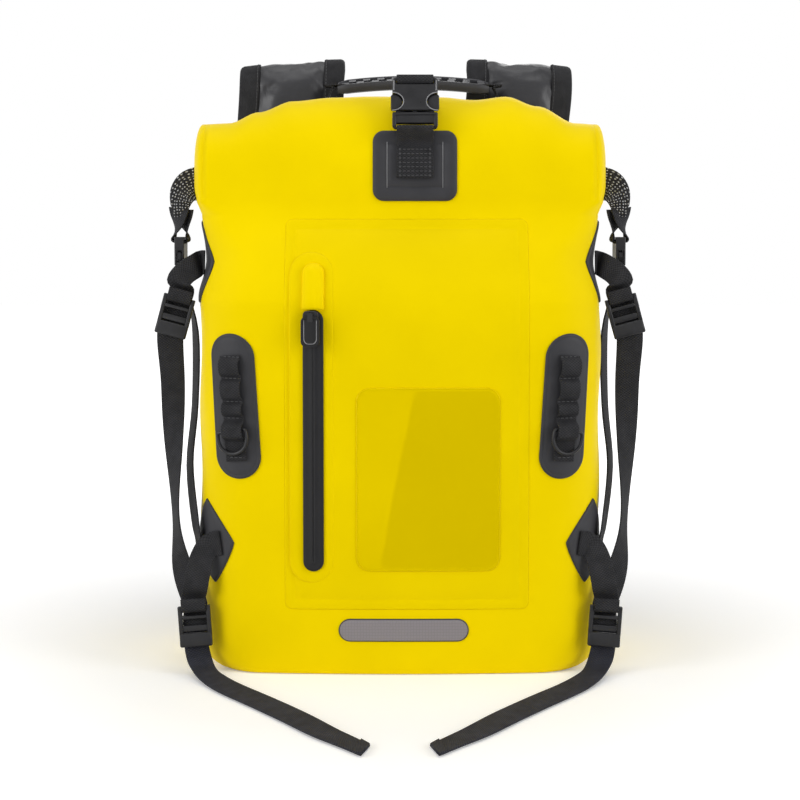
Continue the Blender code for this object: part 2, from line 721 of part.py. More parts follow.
def build_d_rings():
    for side, word in SIDES:
        frame = ring_frame(side)
        half = DAISY_WIDTH / 2 + RING_SIDE_CLEAR + RING_WIRE / 2
        turns = [math.pi * k / 12 for k in range(13)]
        route = [Vector((half * math.cos(a), -half * math.sin(a) - RING_LEG, 0.0)) for a in turns]
        route += [Vector((-half, -RING_WIRE / 2, 0.0)), Vector((-half + RING_WIRE / 2, 0.0, 0.0)),
                  Vector((half - RING_WIRE / 2, 0.0, 0.0)), Vector((half, -RING_WIRE / 2, 0.0))]
        curve = bpy.data.curves.new("ring", "CURVE")
        curve.dimensions = "3D"
        curve.bevel_depth = RING_WIRE / 2
        curve.bevel_resolution = 1
        spline = curve.splines.new("POLY")
        spline.points.add(len(route) - 1)
        for point, spot in zip(spline.points, route):
            point.co = (*spot, 1.0)
        spline.use_cyclic_u = True
        ring = bpy.data.objects.new("d_ring_" + word, curve)
        curve.materials.append(finish_material("d_ring_" + word, BLACK_PLASTIC))
        PARTS.objects.link(ring)
        ring.matrix_world = frame


def roll_axis():
    """Depth, bottom and waist heights of the roll."""
    return -(MOUTH_FRONT - MOUTH_BACK) / 2, MOUTH_HEIGHT + SEAT_GAP, MOUTH_HEIGHT + SEAT_GAP + ROLL_LOWER_RISE


def roll_half_depth():
    return (MOUTH_FRONT + MOUTH_BACK) / 2


def roll_top_height(x):
    rise = ease((ROLL_SLOPE_END - abs(x)) / (ROLL_SLOPE_END - ROLL_FLAT_HALF))
    return roll_axis()[1] + ROLL_END_HEIGHT + (ROLL_MID_HEIGHT - ROLL_END_HEIGHT) * rise


def roll_ring(x, count=28):
    y, bottom, waist = roll_axis()
    ring = []
    for k in range(count):
        angle = 2 * math.pi * k / count
        c = math.cos(angle)
        s = math.sin(angle)
        rise = roll_top_height(x) - waist if s > 0 else waist - bottom
        power = 2 / (ROLL_UPPER_POWER if s > 0 else ROLL_LOWER_POWER)
        ring.append(Vector((x, y + roll_half_depth() * math.copysign(abs(c) ** power, c),
                            waist + rise * math.copysign(abs(s) ** power, s))))
    return ring


def slot_ring(x, half_y, half_z, count=28, power=8.0):
    """Flat oval ring round the roll's waist line."""
    y, _, waist = roll_axis()
    ring = []
    for k in range(count):
        angle = 2 * math.pi * k / count
        c = math.cos(angle)
        s = math.sin(angle)
        ring.append(Vector((x, y + half_y * math.copysign(abs(c) ** (2 / power), c),
                            waist + half_z * math.copysign(abs(s) ** (2 / power), s))))
    return ring


def roll_front(x, z):
    """Front face of the roll at a height."""
    y, bottom, waist = roll_axis()
    rise = roll_top_height(x) - waist if z > waist else waist - bottom
    power = ROLL_UPPER_POWER if z > waist else ROLL_LOWER_POWER
    share = min(abs(z - waist) / rise, 0.999)
    return Vector((x, y - roll_half_depth() * (1 - share ** power) ** (1 / power), z))


def roll_over(y, lift):
    """Point over the top of the roll at its middle, at a depth."""
    centre, _, waist = roll_axis()
    share = min(abs(y - centre) / roll_half_depth(), 0.999)
    rise = roll_top_height(TOP_PATCH_X) - waist
    height = waist + rise * (1 - share ** ROLL_UPPER_POWER) ** (1 / ROLL_UPPER_POWER)
    slope = Vector((0.0, (y - centre) / roll_half_depth() ** 2, (height - waist) / rise ** 2))
    return Vector((TOP_PATCH_X, y, height)) + slope.normalized() * lift


def build_roll():
    spots = [ROLL_HALF_LENGTH, ROLL_SLOPE_END]
    spots += [ROLL_SLOPE_END + (ROLL_FLAT_HALF - ROLL_SLOPE_END) * k / 4 for k in range(1, 5)]
    stations = [-x for x in spots] + [0.0] + spots[::-1]
    half_y = STIFFENER_THICKNESS / 2 + RUN_GAP
    half_z = STIFFENER_WIDTH / 2 + RUN_GAP
    outer = [roll_ring(x) for x in stations]
    inner = [slot_ring(x, half_y, half_z) for x in stations[::-1]]
    add_part("roll_top", loft(outer + inner, closed=True), TARPAULIN)

    y, _, waist = roll_axis()
    frame = Matrix.Translation((0.0, y, waist))
    corner = Vector((ROLL_HALF_LENGTH - STIFFENER_SETBACK, STIFFENER_THICKNESS / 2, STIFFENER_WIDTH / 2))
    bm = box(-corner, corner, frame)
    bmesh.ops.bevel(bm, geom=bm.edges, offset=STIFFENER_THICKNESS / 5, segments=1, affect="EDGES")
    add_part("roll_stiffener", bm, BLACK_PLASTIC)

    centre = (TOP_PATCH_X, roll_axis()[1] + TOP_PATCH_RISE)
    columns = rounded_columns(centre, TOP_PATCH_HALF_WIDTH, TOP_PATCH_HALF_HEIGHT, TOP_PATCH_CORNER, rows=10)
    add_part("top_patch", tile(roll_front, columns, SEAT_GAP, PATCH_THICKNESS), BLACK_RUBBER)


class Buckle:
    """Sizes of a side release buckle for one webbing width; the halves part at local y = 0."""

    def __init__(self, webbing, thickness, female, male):
        self.webbing = webbing
        self.thickness = thickness
        self.female = female
        self.male = male
        self.half = webbing / 2 + BUCKLE_MARGIN
        self.cavity_half = self.half - BUCKLE_WALL
        self.core = thickness - 2 * BUCKLE_SKIN
        self.slot_half = webbing / 2 + RUN_GAP
        self.female_slot = female - BUCKLE_BAR - BUCKLE_SLOT / 2
        self.male_slot = -male + BUCKLE_BAR + BUCKLE_SLOT / 2
        self.cavity_top = self.female_slot - BUCKLE_SLOT / 2 - BUCKLE_BAR
        self.window_top = self.cavity_top - 2 * CHEEK_RISE

    def build_female(self, name, frame, pivot=Vector()):
        bm = box((-self.half, SEAT_GAP, -self.thickness / 2), (self.half, self.female, self.thickness / 2), frame)
        bmesh.ops.bevel(bm, geom=bm.edges, offset=BUCKLE_SKIN / 2, segments=2, affect="EDGES", profile=0.5)
        part = add_part(name, bm, BLACK_PLASTIC, pivot)
        core = self.core / 2
        reach = 2 * self.half
        add_cutter(part, box((-self.cavity_half, -CUT_OVERRUN, -core), (self.cavity_half, self.cavity_top, core),
                             frame), name + "_cavity")
        window = core * WINDOW_SHARE
        add_cutter(part, box((-reach, -2 * CUT_OVERRUN, -window), (reach, self.window_top, window),
                             frame), name + "_windows")
        low = self.female_slot - BUCKLE_SLOT / 2
        add_cutter(part, box((-self.slot_half, low, -self.thickness), (self.slot_half, low + BUCKLE_SLOT,
                             self.thickness), frame), name + "_slot")

    def build_male(self, name, frame, pivot=Vector()):
        tongue = BUCKLE_TONGUE / 2
        reach = self.cavity_top - PRONG_TRAVEL
        outline = [(-self.half, -self.male), (self.half, -self.male), (self.half, -SEAT_GAP),
                   (tongue, -SEAT_GAP), (tongue, reach), (-tongue, reach), (-tongue, -SEAT_GAP),
                   (-self.half, -SEAT_GAP)]
        slot = rounded_outline(self.slot_half, BUCKLE_SLOT / 2, BUCKLE_SLOT / 4, 2, (0.0, self.male_slot))
        add_part(name, plate([outline, slot], self.core - 2 * CORE_GAP, frame), BLACK_PLASTIC, pivot)

    def build_prong(self, name, frame, hand, pivot):
        outer = self.cavity_half - RUN_GAP
        inner = outer - PRONG_WIDTH
        low = CHEEK_RISE + RUN_GAP
        high = self.window_top - RUN_GAP
        tip = self.cavity_top - 2 * RUN_GAP
        outline = [(inner, 0.0), (outer, 0.0)]
        for k in range(9):
            angle = math.pi * (k / 8 - 0.5)
            outline.append((outer + PRONG_CHEEK * math.cos(angle),
                            (low + high) / 2 + (high - low) / 2 * math.sin(angle)))
        outline += [(outer, tip - RUN_GAP), (outer - PRONG_WIDTH / 3, tip), (inner, tip)]
        outline = [(hand * x, y) for x, y in outline]
        add_part(name, plate([outline], self.core - 2 * CORE_GAP, frame, PRONG_BEVEL), BLACK_PLASTIC, pivot)

    def thread_female(self, frame, turn):
        """Webbing points round the female bar: turn 1 goes in at the face, -1 at the back."""
        out = (self.thickness / 2 + WEBBING_THICKNESS) * turn
        top = self.female + WEBBING_THICKNESS
        spots = ((0, top, out), (0, self.female_slot, out), (0, self.female_slot, -out), (0, top, -out))
        return [frame @ Vector(spot) for spot in spots]

    def thread_male(self, frame, turn):
        """Webbing points round the male bar: turn 1 goes in at the face, -1 at the back."""
        out = (self.core / 2 + WEBBING_THICKNESS) * turn
        low = -self.male - WEBBING_THICKNESS
        spots = ((0, low, out), (0, self.male_slot, out), (0, self.male_slot, -out), (0, low, -out))
        return [frame @ Vector(spot) for spot in spots]


TOP_BUCKLE = Buckle(TOP_WEBBING_WIDTH, TOP_BUCKLE_THICKNESS, TOP_FEMALE_HEIGHT, TOP_MALE_HEIGHT)
SIDE_BUCKLE = Buckle(WEBBING_WIDTH, SIDE_BUCKLE_THICKNESS, SIDE_FEMALE_HEIGHT, SIDE_MALE_HEIGHT)


def top_buckle_frame():
    """Frame of the top buckle, leaning back over the front of the roll."""
    z = roll_axis()[1] + TOP_BUCKLE_RISE
    front = roll_front(TOP_PATCH_X, z - TOP_MALE_HEIGHT)
    up = Vector((0.0, math.sin(TOP_BUCKLE_TILT), math.cos(TOP_BUCKLE_TILT)))
    return axes((TOP_PATCH_X, front.y - TOP_BUCKLE_FORWARD, z), (1, 0, 0), up)


STRAP_ANCHOR_REACH = 0.0335


def strap_pivot():
    """Rear end of the top strap, sewn to the back of the roll."""
    return roll_over(roll_axis()[0] + STRAP_ANCHOR_REACH, SEAT_GAP + WEBBING_THICKNESS / 2)


def build_top_closure():
    frame = top_buckle_frame()
    pivot = strap_pivot()
    TOP_BUCKLE.build_male("top_buckle_male", frame)
    TOP_BUCKLE.build_female("top_buckle_female", frame, pivot)
    for hand, word in SIDES:
        TOP_BUCKLE.build_prong("top_prong_" + word, frame, hand, frame @ Vector((0.0, 0.0, 0.0)))

    lower = roll_axis()[1] + TOP_PATCH_RISE
    first = ON_PATCH + WEBBING_THICKNESS / 2
    second = first + WEBBING_THICKNESS + SEAT_GAP
    points = [lifted(roll_front, TOP_PATCH_X, lower + rise, first) for rise in TOP_WEBBING_RISE]
    points += TOP_BUCKLE.thread_male(frame, -1)
    points += [lifted(roll_front, TOP_PATCH_X, lower + rise, second) for rise in TOP_WEBBING_RISE[::-1]]
    bm = strap(points, [(1, 0, 0)] * len(points), TOP_WEBBING_WIDTH)
    add_part("top_webbing", bm, BLACK_WEBBING)

    centre = roll_axis()[0]
    lift = SEAT_GAP + WEBBING_THICKNESS / 2
    rear = math.asin(STRAP_ANCHOR_REACH / roll_half_depth())
    turns = [rear * (1 - 1.25 * k / 14) for k in range(15)]
    points = [roll_over(centre + roll_half_depth() * math.sin(turn), lift) for turn in turns]
    points += TOP_BUCKLE.thread_female(frame, -1)
    bm = strap(points, [(1, 0, 0)] * len(points), TOP_WEBBING_WIDTH)
    add_part("top_strap", bm, BLACK_WEBBING, pivot)


def side_buckle_frame():
    """Frame of the left side buckle, its face turned away from the bag."""
    return axes((-SIDE_BUCKLE_X, roll_axis()[0], SIDE_BUCKLE_Z), (0, -1, 0), (0, 0, 1))


def build_side_closures():
    y, bottom, waist = roll_axis()
    for side, word in SIDES:
        frame = mirrored(side_buckle_frame(), side)
        SIDE_BUCKLE.build_male("side_buckle_male_" + word, frame)
        SIDE_BUCKLE.build_female("side_buckle_female_" + word, frame)
        for hand, place in ((1, "front"), (-1, "rear")):
            name = "side_prong_" + place + "_" + word
            SIDE_BUCKLE.build_prong(name, frame, hand, frame @ Vector((0.0, 0.0, 0.0)))

        end = ROLL_HALF_LENGTH + SEAT_GAP + WEBBING_THICKNESS / 2
        points = [flip((-end - out, y, waist + rise), side) for out, rise in END_TAB_SEWN]
        points += [flip((-SIDE_BUCKLE_X - out, y, waist + rise), side) for out, rise in END_TAB_BOW]
        points += SIDE_BUCKLE.thread_female(frame, 1)
        bm = strap(points, [(0, 1, 0)] * len(points), WEBBING_WIDTH)
        add_part("roll_end_tab_" + word, bm, BLACK_WEBBING)

        foot_s = side * (LOWER_PATCH_S - LOWER_ANCHOR_SHIFT + WEBBING_WIDTH + 2 * RUN_GAP)
        lift = ON_PATCH + WEBBING_THICKNESS / 2
        foot = [on_skin(foot_s, LOWER_PATCH_Z + rise, lift + out) for rise, out in CLOSURE_FOOT]
        hang = []
        for share, out, bow in CLOSURE_HANG:
            z = LOWER_PATCH_Z + (SIDE_BUCKLE_Z - LOWER_PATCH_Z) * share
            hang.append(flip((-BAG_HALF_WIDTH - out, y + bow, z), side))
        points = SIDE_BUCKLE.thread_male(frame, 1) + hang + foot[::-1]
        level = Vector((0, -1, 0))
        tilted = Vector((side * -0.35, -0.94, 0))
        corner = skin(foot_s + 0.002, LOWER_PATCH_Z) - skin(foot_s - 0.002, LOWER_PATCH_Z)
        corner = corner.normalized() * -side
        across = [level] * 4 + [tilted, tilted, (tilted + corner) / 2] + [corner] * 3
        add_part("closure_strap_" + word, strap(points, across, WEBBING_WIDTH), BLACK_WEBBING)


def lock_frame(centre, lean):
    """Frame of a left ladder lock facing the front; lean tips its top towards the bag."""
    return axes(centre, (math.cos(lean), 0, -math.sin(lean)), (math.sin(lean), 0, math.cos(lean)))


LOCK_AXIS = LOCK_HEIGHT / 2 - LOCK_BAR / 2
HOOK_RADIUS = math.hypot(LOCK_THICKNESS, LOCK_BAR) / 2 + SEAT_GAP + WEBBING_THICKNESS / 2
BEHIND_LOCK = -(LOCK_THICKNESS / 2 + SEAT_GAP + WEBBING_THICKNESS / 2)


def build_lock(name, frame):
    """Ladder lock with two webbing slots; its origin is on the bar that the anchor holds."""
    outline = rounded_outline(LOCK_WIDTH / 2, LOCK_HEIGHT / 2, LOCK_CORNER)
    first = LOCK_HEIGHT / 2 - LOCK_BAR - LOCK_SLOT / 2
    second = first - LOCK_SLOT - LOCK_BAR
    loops = [outline]
    for middle in (first, second):
        loops.append(rounded_outline(LOCK_SLOT_WIDTH / 2, LOCK_SLOT / 2, LOCK_SLOT / 4, 2, (0.0, middle)))
    pivot = frame @ Vector((0.0, LOCK_AXIS, 0.0))
    add_part(name, plate(loops, LOCK_THICKNESS, frame), BLACK_PLASTIC, pivot)


def hook_points(frame):
    """Webbing round a lock's bar, from behind it, through the first slot and up its face."""
    spots = [(0.0, LOCK_AXIS + 2 * HOOK_RADIUS, -HOOK_RADIUS)]
    for k in range(7):
        angle = math.pi * (1 + k / 6)
        spots.append((0.0, LOCK_AXIS + HOOK_RADIUS * math.sin(angle), HOOK_RADIUS * math.cos(angle)))
    spots.append((0.0, LOCK_AXIS + 2 * HOOK_RADIUS, HOOK_RADIUS))
    return [frame @ Vector(spot) for spot in spots]


def build_anchor(name, frame, side, s, z):
    """Webbing sewn to a diamond patch and looped round a lock's bar."""
    lift = ON_PATCH + WEBBING_THICKNESS / 2
    sewn = [on_skin(side * s, z + rise, lift + out) for rise, out in ANCHOR_SEWN]
    level = (skin(side * s + 0.002, z) - skin(side * s - 0.002, z)).normalized() * -side
    wide = (frame.to_3x3() @ Vector((1, 0, 0))).normalized()
    if wide.dot(level) < 0:
        level = -level
    hook = hook_points(frame)
    middle = (sewn[-1] + hook[0]) / 2
    points = sewn + [middle] + hook
    across = [level, level, level, (level + wide) / 2] + [wide] * len(hook)
    add_part(name, strap(points, across, WEBBING_WIDTH), BLACK_WEBBING)


def build_side_straps():
    for side, word in SIDES:
        upper = mirrored(lock_frame(UPPER_LOCK, UPPER_LOCK_LEAN), side)
        lower = mirrored(lock_frame(LOWER_LOCK, LOWER_LOCK_LEAN), side)
        build_lock("upper_ladder_lock_" + word, upper)
        build_lock("lower_ladder_lock_" + word, lower)
        build_anchor("upper_anchor_" + word, upper, side, UPPER_PATCH_S, UPPER_PATCH_Z)
        lower_s = LOWER_PATCH_S - LOWER_ANCHOR_SHIFT
        build_anchor("lower_anchor_" + word, lower, side, lower_s, LOWER_PATCH_Z - LOWER_ANCHOR_DROP)

        start = LOCK_AXIS - 2.2 * HOOK_RADIUS
        top = [upper @ Vector((0.0, start, BEHIND_LOCK)), upper @ Vector((0.0, -LOCK_HEIGHT / 2, BEHIND_LOCK))]
        low = [lower @ Vector((0.0, LOCK_HEIGHT * 0.5, BEHIND_LOCK - 0.006)),
               lower @ Vector((0.0, LOCK_HEIGHT * 0.12, BEHIND_LOCK)),
               lower @ Vector((0.0, -LOCK_HEIGHT * 0.10, BEHIND_LOCK))]
        hang = []
        for share, out, bow in COMPRESSION_HANG:
            spot = LOWER_LOCK.lerp(UPPER_LOCK, share)
            hang.append(flip((-BAG_HALF_WIDTH - out, spot.y + bow, spot.z), side))
        wide_top = (upper.to_3x3() @ Vector((1, 0, 0))).normalized()
        wide_low = (lower.to_3x3() @ Vector((1, 0, 0))).normalized()
        edge = flip((0.38, -0.92, 0), side)
        points = blend_points(top + hang + low, 2)
        marks = [wide_top, wide_top, wide_top, (wide_top + edge) / 2, edge, (edge + wide_low) / 2,
                 wide_low, wide_low, wide_low]
        across = blend_points(marks, 2)
        add_part("compression_strap_" + word, strap(points, across, WEBBING_WIDTH), BLACK_WEBBING)


def build_tails():
    for side, word in SIDES:
        points = [flip(point, side) for point in TAIL_ROUTE]
        across = []
        for i in range(len(points)):
            run = points[min(i + 1, len(points) - 1)] - points[max(i - 1, 0)]
            flat = UP.cross(run).normalized()
            hung = Vector((math.copysign(1.0, flat.x), 0.0, 0.0))
            share = ease((i - 2) / 4)
            across.append(hung * (1 - share) + flat * share)
        bm = strap(points, across, WEBBING_WIDTH)
        add_part("strap_tail_" + word, bm, BLACK_WEBBING)


def build_handle():
    pivot = Vector((HANDLE_X, HANDLE_Y, HANDLE_FOOT_Z))
    hole_y = WEBBING_WIDTH / 2 + RUN_GAP
    hole_z = WEBBING_THICKNESS / 2 + RUN_GAP
    outer = []
    inner = []
    for t, swell in ((-1.0, 0.8), (-0.93, 1.0), (0.0, 1.04), (0.93, 1.0), (1.0, 0.8)):
        x = HANDLE_X + GRIP_HALF_LENGTH * t
        rim = rounded_outline(GRIP_DEPTH / 2 * swell, GRIP_HEIGHT / 2 * swell, GRIP_HEIGHT / 3 * swell, 3)
        bore = rounded_outline(hole_y, hole_z, hole_z * 0.6, 3)
        outer.append([Vector((x, HANDLE_Y + a, GRIP_Z + b)) for a, b in rim])
        inner.append([Vector((x, HANDLE_Y + a, GRIP_Z + b)) for a, b in bore])
    bm = loft(outer + inner[::-1], closed=True)
    add_part("carry_handle_grip", bm, BLACK_RUBBER, pivot)

    foot = HANDLE_FOOT_X
    mouth = GRIP_HALF_LENGTH + 2 * RUN_GAP
    leg_y = BAG_BACK - WEBBING_THICKNESS / 2
    half = [(-foot, leg_y, HANDLE_FOOT_Z)]
    half += [(-foot, leg_y - back, BACK_PAD_TOP + rise) for back, rise in HANDLE_LEG]
    half += [(-mouth - out, HANDLE_Y, GRIP_Z - drop) for out, drop in HANDLE_BEND]
    flat = Vector((1, 0, 0))
    level = Vector((0, 1, 0))
    turn = [flat, flat] + [flat.lerp(level, share) for share in HANDLE_TWIST] + [level] * 3
    points = [Vector((HANDLE_X + x, y, z)) for x, y, z in half]
    points += [Vector((HANDLE_X - x, y, z)) for x, y, z in half[::-1]]
    across = turn + [Vector((-v.x, v.y, 0)) for v in turn[::-1]]
    add_part("handle_strap", strap(points, across, WEBBING_WIDTH), BLACK_WEBBING, pivot)


def pad_face():
    """Rear face of the back pad where the shoulder straps are sewn."""
    return BAG_BACK + SEAT_GAP + BACK_PAD_THICKNESS


def build_back_pad():
    """Foam panel with a crown low down and two channels that leave a valley for the spine."""
    low = []
    high = []
    middle = (BACK_PAD_TOP + BACK_PAD_BOTTOM) / 2
    half = (BACK_PAD_TOP - BACK_PAD_BOTTOM) / 2
    columns = rounded_columns((0.0, middle), BACK_PAD_HALF_WIDTH, half, BACK_PAD_CORNER, count=20, rows=16)
    for spots in columns:
        low.append([Vector((x, BAG_BACK + SEAT_GAP, z)) for x, z in spots])
        column = []
        for x, z in spots:
            across = x / BACK_PAD_HALF_WIDTH
            swell = min(max((z - BACK_CROWN_LOW) / (BACK_CROWN_HIGH - BACK_CROWN_LOW), 0.0), 1.0)
            crown = max(1 - across ** 4, 0.0) * math.sin(math.pi * swell)
            valley = math.exp(-((abs(across) - BACK_CHANNEL_PLACE) / BACK_CHANNEL_SPREAD) ** 2)
            rim = max(1 - abs(across) ** 12, BACK_PAD_RIM)
            depth = BACK_PAD_THICKNESS * rim + (BACK_PAD_CROWN - BACK_PAD_CHANNEL * valley) * crown
            column.append(Vector((x, BAG_BACK + SEAT_GAP + depth, z)))
        high.append(column)
    add_part("back_pad", sheet_solid(low, high), PAD_FABRIC)


def shoulder_route():
    """Centre line of a shoulder pad in Y and Z, with its width share and height share."""
    face = pad_face() + SEAT_GAP
    front = face + SHOULDER_THICKNESS / 2
    peak = SHOULDER_PEAK
    rear = front + 2 * SHOULDER_TURN
    foot = face - SHOULDER_FOOT_SINK
    return ((foot + SHOULDER_THICKNESS * 0.24, BACK_PAD_TOP - 0.060, 0.94, 0.45),
            (foot + SHOULDER_THICKNESS * 0.36, BACK_PAD_TOP - 0.035, 0.97, 0.70),
            (front, BACK_PAD_TOP, 1.0, 1.0),
            (front + 0.001, (peak + BACK_PAD_TOP) / 2, 1.0, 1.0),
            (front + 0.003, peak - 0.022, 1.0, 1.0),
            (front + 0.009, peak - 0.005, 1.0, 0.95),
            (front + SHOULDER_TURN + 0.004, peak, 1.0, 0.95),
            (rear, peak - 0.006, 1.0, 0.95),
            (rear + 0.010, peak - 0.028, 0.99, 1.0),
            (rear + 0.018, peak - 0.065, 0.97, 1.05),
            (rear + 0.024, peak - 0.110, 0.94, 1.1),
            (rear + 0.025, peak - 0.165, 0.88, 1.1),
            (rear + 0.020, peak - 0.225, 0.80, 1.1),
            (rear + 0.012, peak - 0.285, 0.70, 1.0),
            (rear + 0.004, SHOULDER_END_Z + 0.012, 0.60, 0.9),
            (rear + 0.001, SHOULDER_END_Z, 0.50, 0.6))


def shoulder_x(z_share):
    """Distance of the pad's middle from the bag's middle, spreading a little downwards."""
    return SHOULDER_X + 0.014 * z_share


def build_shoulder_straps():
    route = shoulder_route()
    count = len(route)
    for side, word in SIDES:
        rings = []
        for i, (y, z, wide, tall) in enumerate(route):
            ahead = route[min(i + 1, count - 1)]
            behind = route[max(i - 1, 0)]
            run = Vector((0.0, ahead[0] - behind[0], ahead[1] - behind[1])).normalized()
            out = run.cross(Vector((1, 0, 0)))
            centre = Vector((side * shoulder_x(max(i - 7, 0) / (count - 8)), y, z))
            ring = []
            for k in range(20):
                angle = 2 * math.pi * k / 20
                c = math.cos(angle)
                s = math.sin(angle)
                x = SHOULDER_WIDTH / 2 * wide * math.copysign(abs(c) ** 0.75, c)
                pinch = 1 - 0.35 * math.exp(-((abs(c) - 0.86) / 0.10) ** 2)
                puff = SHOULDER_THICKNESS / 2 * tall * math.copysign(abs(s) ** 0.7, s) * pinch
                ring.append(centre + Vector((x, 0, 0)) + out * puff)
            rings.append(ring)
        add_part("shoulder_pad_" + word, loft(rings), PAD_FABRIC)

        end_y, end_z = route[-1][:2]
        x = shoulder_x(1.0)
        drop = end_z - SHOULDER_LOCK_GAP
        foot = Vector((-SHOULDER_FOOT_X, BAG_BACK + SEAT_GAP + WEBBING_THICKNESS / 2, SHOULDER_FOOT_Z))
        lock_up = Vector((0.0, 0.35, 1.0)).normalized()
        lock = axes(Vector((-x, end_y, drop)) - lock_up * (LOCK_HEIGHT / 2), (-1, 0, 0), lock_up)
        build_lock("shoulder_ladder_lock_" + word, mirrored(lock, side))
        first = lock @ Vector((0.0, LOCK_HEIGHT * 0.25, BEHIND_LOCK))
        second = lock @ Vector((0.0, -LOCK_HEIGHT * 0.55, BEHIND_LOCK))
        near = foot + Vector((0.0, 0.001, 0.022))
        lean = (near + second) / 2 + Vector((0.0, 0.002, 0.0))
        points = [flip(point, side) for point in (first, second, lean, near, foot)]
        bm = strap(points, [(1, 0, 0)] * 5, WEBBING_WIDTH)
        add_part("shoulder_webbing_" + word, bm, BLACK_WEBBING)


def main():
    build_bag_shell()
    build_front_pocket()
    build_zip_slider()
    build_side_patches()
    build_d_rings()
    build_roll()
    build_top_closure()
    build_side_closures()
    build_side_straps()
    build_tails()
    build_back_pad()
    build_handle()
    build_shoulder_straps()


clear_scene()
PARTS = new_collection("dry_backpack")
CUTTERS = new_collection("cutters")
main()
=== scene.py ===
"""Looks of the roll-top dry backpack: fabrics, webbing, pads, hardware finishes and the stage.

Metres, +Z up, front facing -Y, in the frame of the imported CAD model.
"""
import math

import bmesh
import bpy
from mathutils import Matrix, Vector


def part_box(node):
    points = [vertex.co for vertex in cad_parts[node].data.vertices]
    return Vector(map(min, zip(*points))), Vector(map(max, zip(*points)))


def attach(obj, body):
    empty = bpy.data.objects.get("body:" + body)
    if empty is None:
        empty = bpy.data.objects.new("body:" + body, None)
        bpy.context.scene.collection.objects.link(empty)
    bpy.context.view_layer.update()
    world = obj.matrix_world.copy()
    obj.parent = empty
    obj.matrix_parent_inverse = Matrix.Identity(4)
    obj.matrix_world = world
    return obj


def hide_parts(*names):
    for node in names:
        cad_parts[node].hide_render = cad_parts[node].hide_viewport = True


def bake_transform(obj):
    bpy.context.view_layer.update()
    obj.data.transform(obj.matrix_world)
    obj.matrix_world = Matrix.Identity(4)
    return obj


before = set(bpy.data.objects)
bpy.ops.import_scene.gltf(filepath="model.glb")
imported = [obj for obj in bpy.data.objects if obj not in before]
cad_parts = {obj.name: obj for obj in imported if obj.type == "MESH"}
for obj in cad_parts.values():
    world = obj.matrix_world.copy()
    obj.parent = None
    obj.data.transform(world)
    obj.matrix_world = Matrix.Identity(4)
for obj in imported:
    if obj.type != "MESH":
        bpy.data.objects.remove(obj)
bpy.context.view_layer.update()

bl_info = {
    "name": "Dry backpack looks",
    "version": (1, 0, 0),
    "blender": (4, 5, 0),
    "location": "View3D > Sidebar > Backpack",
    "description": "Builds the fabrics, webbing, pads and finishes of a roll-top dry backpack",
    "category": "Object",
}

UP = Vector((0.0, 0.0, 1.0))
WHITE = (1.0, 1.0, 1.0, 1.0)
FORWARD = Vector((0.0, -1.0, 0.0))
ACROSS = Vector((1.0, 0.0, 0.0))
SIDES = ((-1, "left"), (1, "right"))
MM = 0.001
NEAR = 0.002
NEARER = 0.0005
NEARLY_ALL = 0.999

# Bag body: the CAD shell, drawn in a little at the flanks and fuller at the front of the base
BAG_HALF_WIDTH = 0.169
BAG_FRONT = 0.080
BAG_BACK = 0.083
BAG_CORNER = 0.046
FRONT_BULGE = 0.008
BASE_INSET = 0.022
BASE_ROUND = 0.032
BASE_FRONT_SHARE = 0.08
FLANK_DRAW = 0.0028
STRAIGHT_TOP = 0.302
WAIST_HEIGHT = 0.334
WAIST_INSET = 0.0065
MOUTH_HEIGHT = 0.374
MOUTH_HALF_WIDTH = 0.1645
MOUTH_FRONT = 0.058
MOUTH_BACK = 0.018
MOUTH_CORNER = 0.024

# Rolled collar: middle line, half depth, waist height and the height of its top at places along X
ROLL_Y = -0.020
ROLL_HALF_DEPTH = 0.038
ROLL_WAIST = 0.4099
ROLL_LOWER_RISE = 0.0355
ROLL_START_SHARE = 0.74
ROLL_LOWER_POWER = 6.0
ROLL_UPPER_POWER = 2.2
ROLL_FACE_END = 0.1605
ROLL_HALF_LENGTH = 0.1715
ROLL_TOP = ((-0.1740, 0.4480), (-0.1636, 0.4490), (-0.1425, 0.4499), (-0.1180, 0.4590), (-0.0892, 0.4682),
            (-0.0560, 0.4712), (-0.0249, 0.4722), (0.0334, 0.4716), (0.0622, 0.4692), (0.0884, 0.4720),
            (0.1146, 0.4640), (0.1467, 0.4499), (0.1628, 0.4490), (0.1740, 0.4480))

# Places of the patches: distance round the bag from the front middle line, and height
SEAT = 0.0004
PANEL_X = 0.0055
PANEL_LOW = 0.0535
PANEL_HIGH = 0.370
PANEL_HALF_WIDTH = 0.099
PANEL_CORNER = 0.006
ZIP_X = -0.0715
ZIP_LOW = 0.085
ZIP_HIGH = 0.297
ZIP_HALF_WIDTH = 0.009
HOOD_HEIGHT = 0.0364
HOOD_RISE = 0.0052
WINDOW_X = 0.0228
WINDOW_Z = 0.1597
WINDOW_HALF = (0.0582, 0.0747)
WINDOW_CORNER = 0.0114
STRIP_X = 0.003
STRIP_Z = 0.0366
STRIP_HALF = (0.052, 0.0085)
SIDE_PATCH_S = 0.137
SIDE_PATCH_Z = 0.217
SIDE_PATCH_LEAN = 0.15
# The seen patch stands straighter than the CAD one
SEEN_PATCH_S = 0.1341
SEEN_PATCH_Z = 0.2186
SEEN_PATCH_HALF = (0.0191, 0.0590)
SEEN_PATCH_LEAN = 0.062
PATCH_THICKNESS = 0.0018
ON_PATCH = 2 * SEAT + PATCH_THICKNESS
DIAMOND_HALF = (0.023, 0.034)
UPPER_PATCH = (0.1805, 0.3350)
LOWER_PATCH = (0.158, 0.107)
TOP_PATCH_X = 0.0122
TOP_PATCH_Z = 0.4134
TOP_PATCH_HALF = (0.0345, 0.0287)
TOP_PATCH_CORNER = 0.009

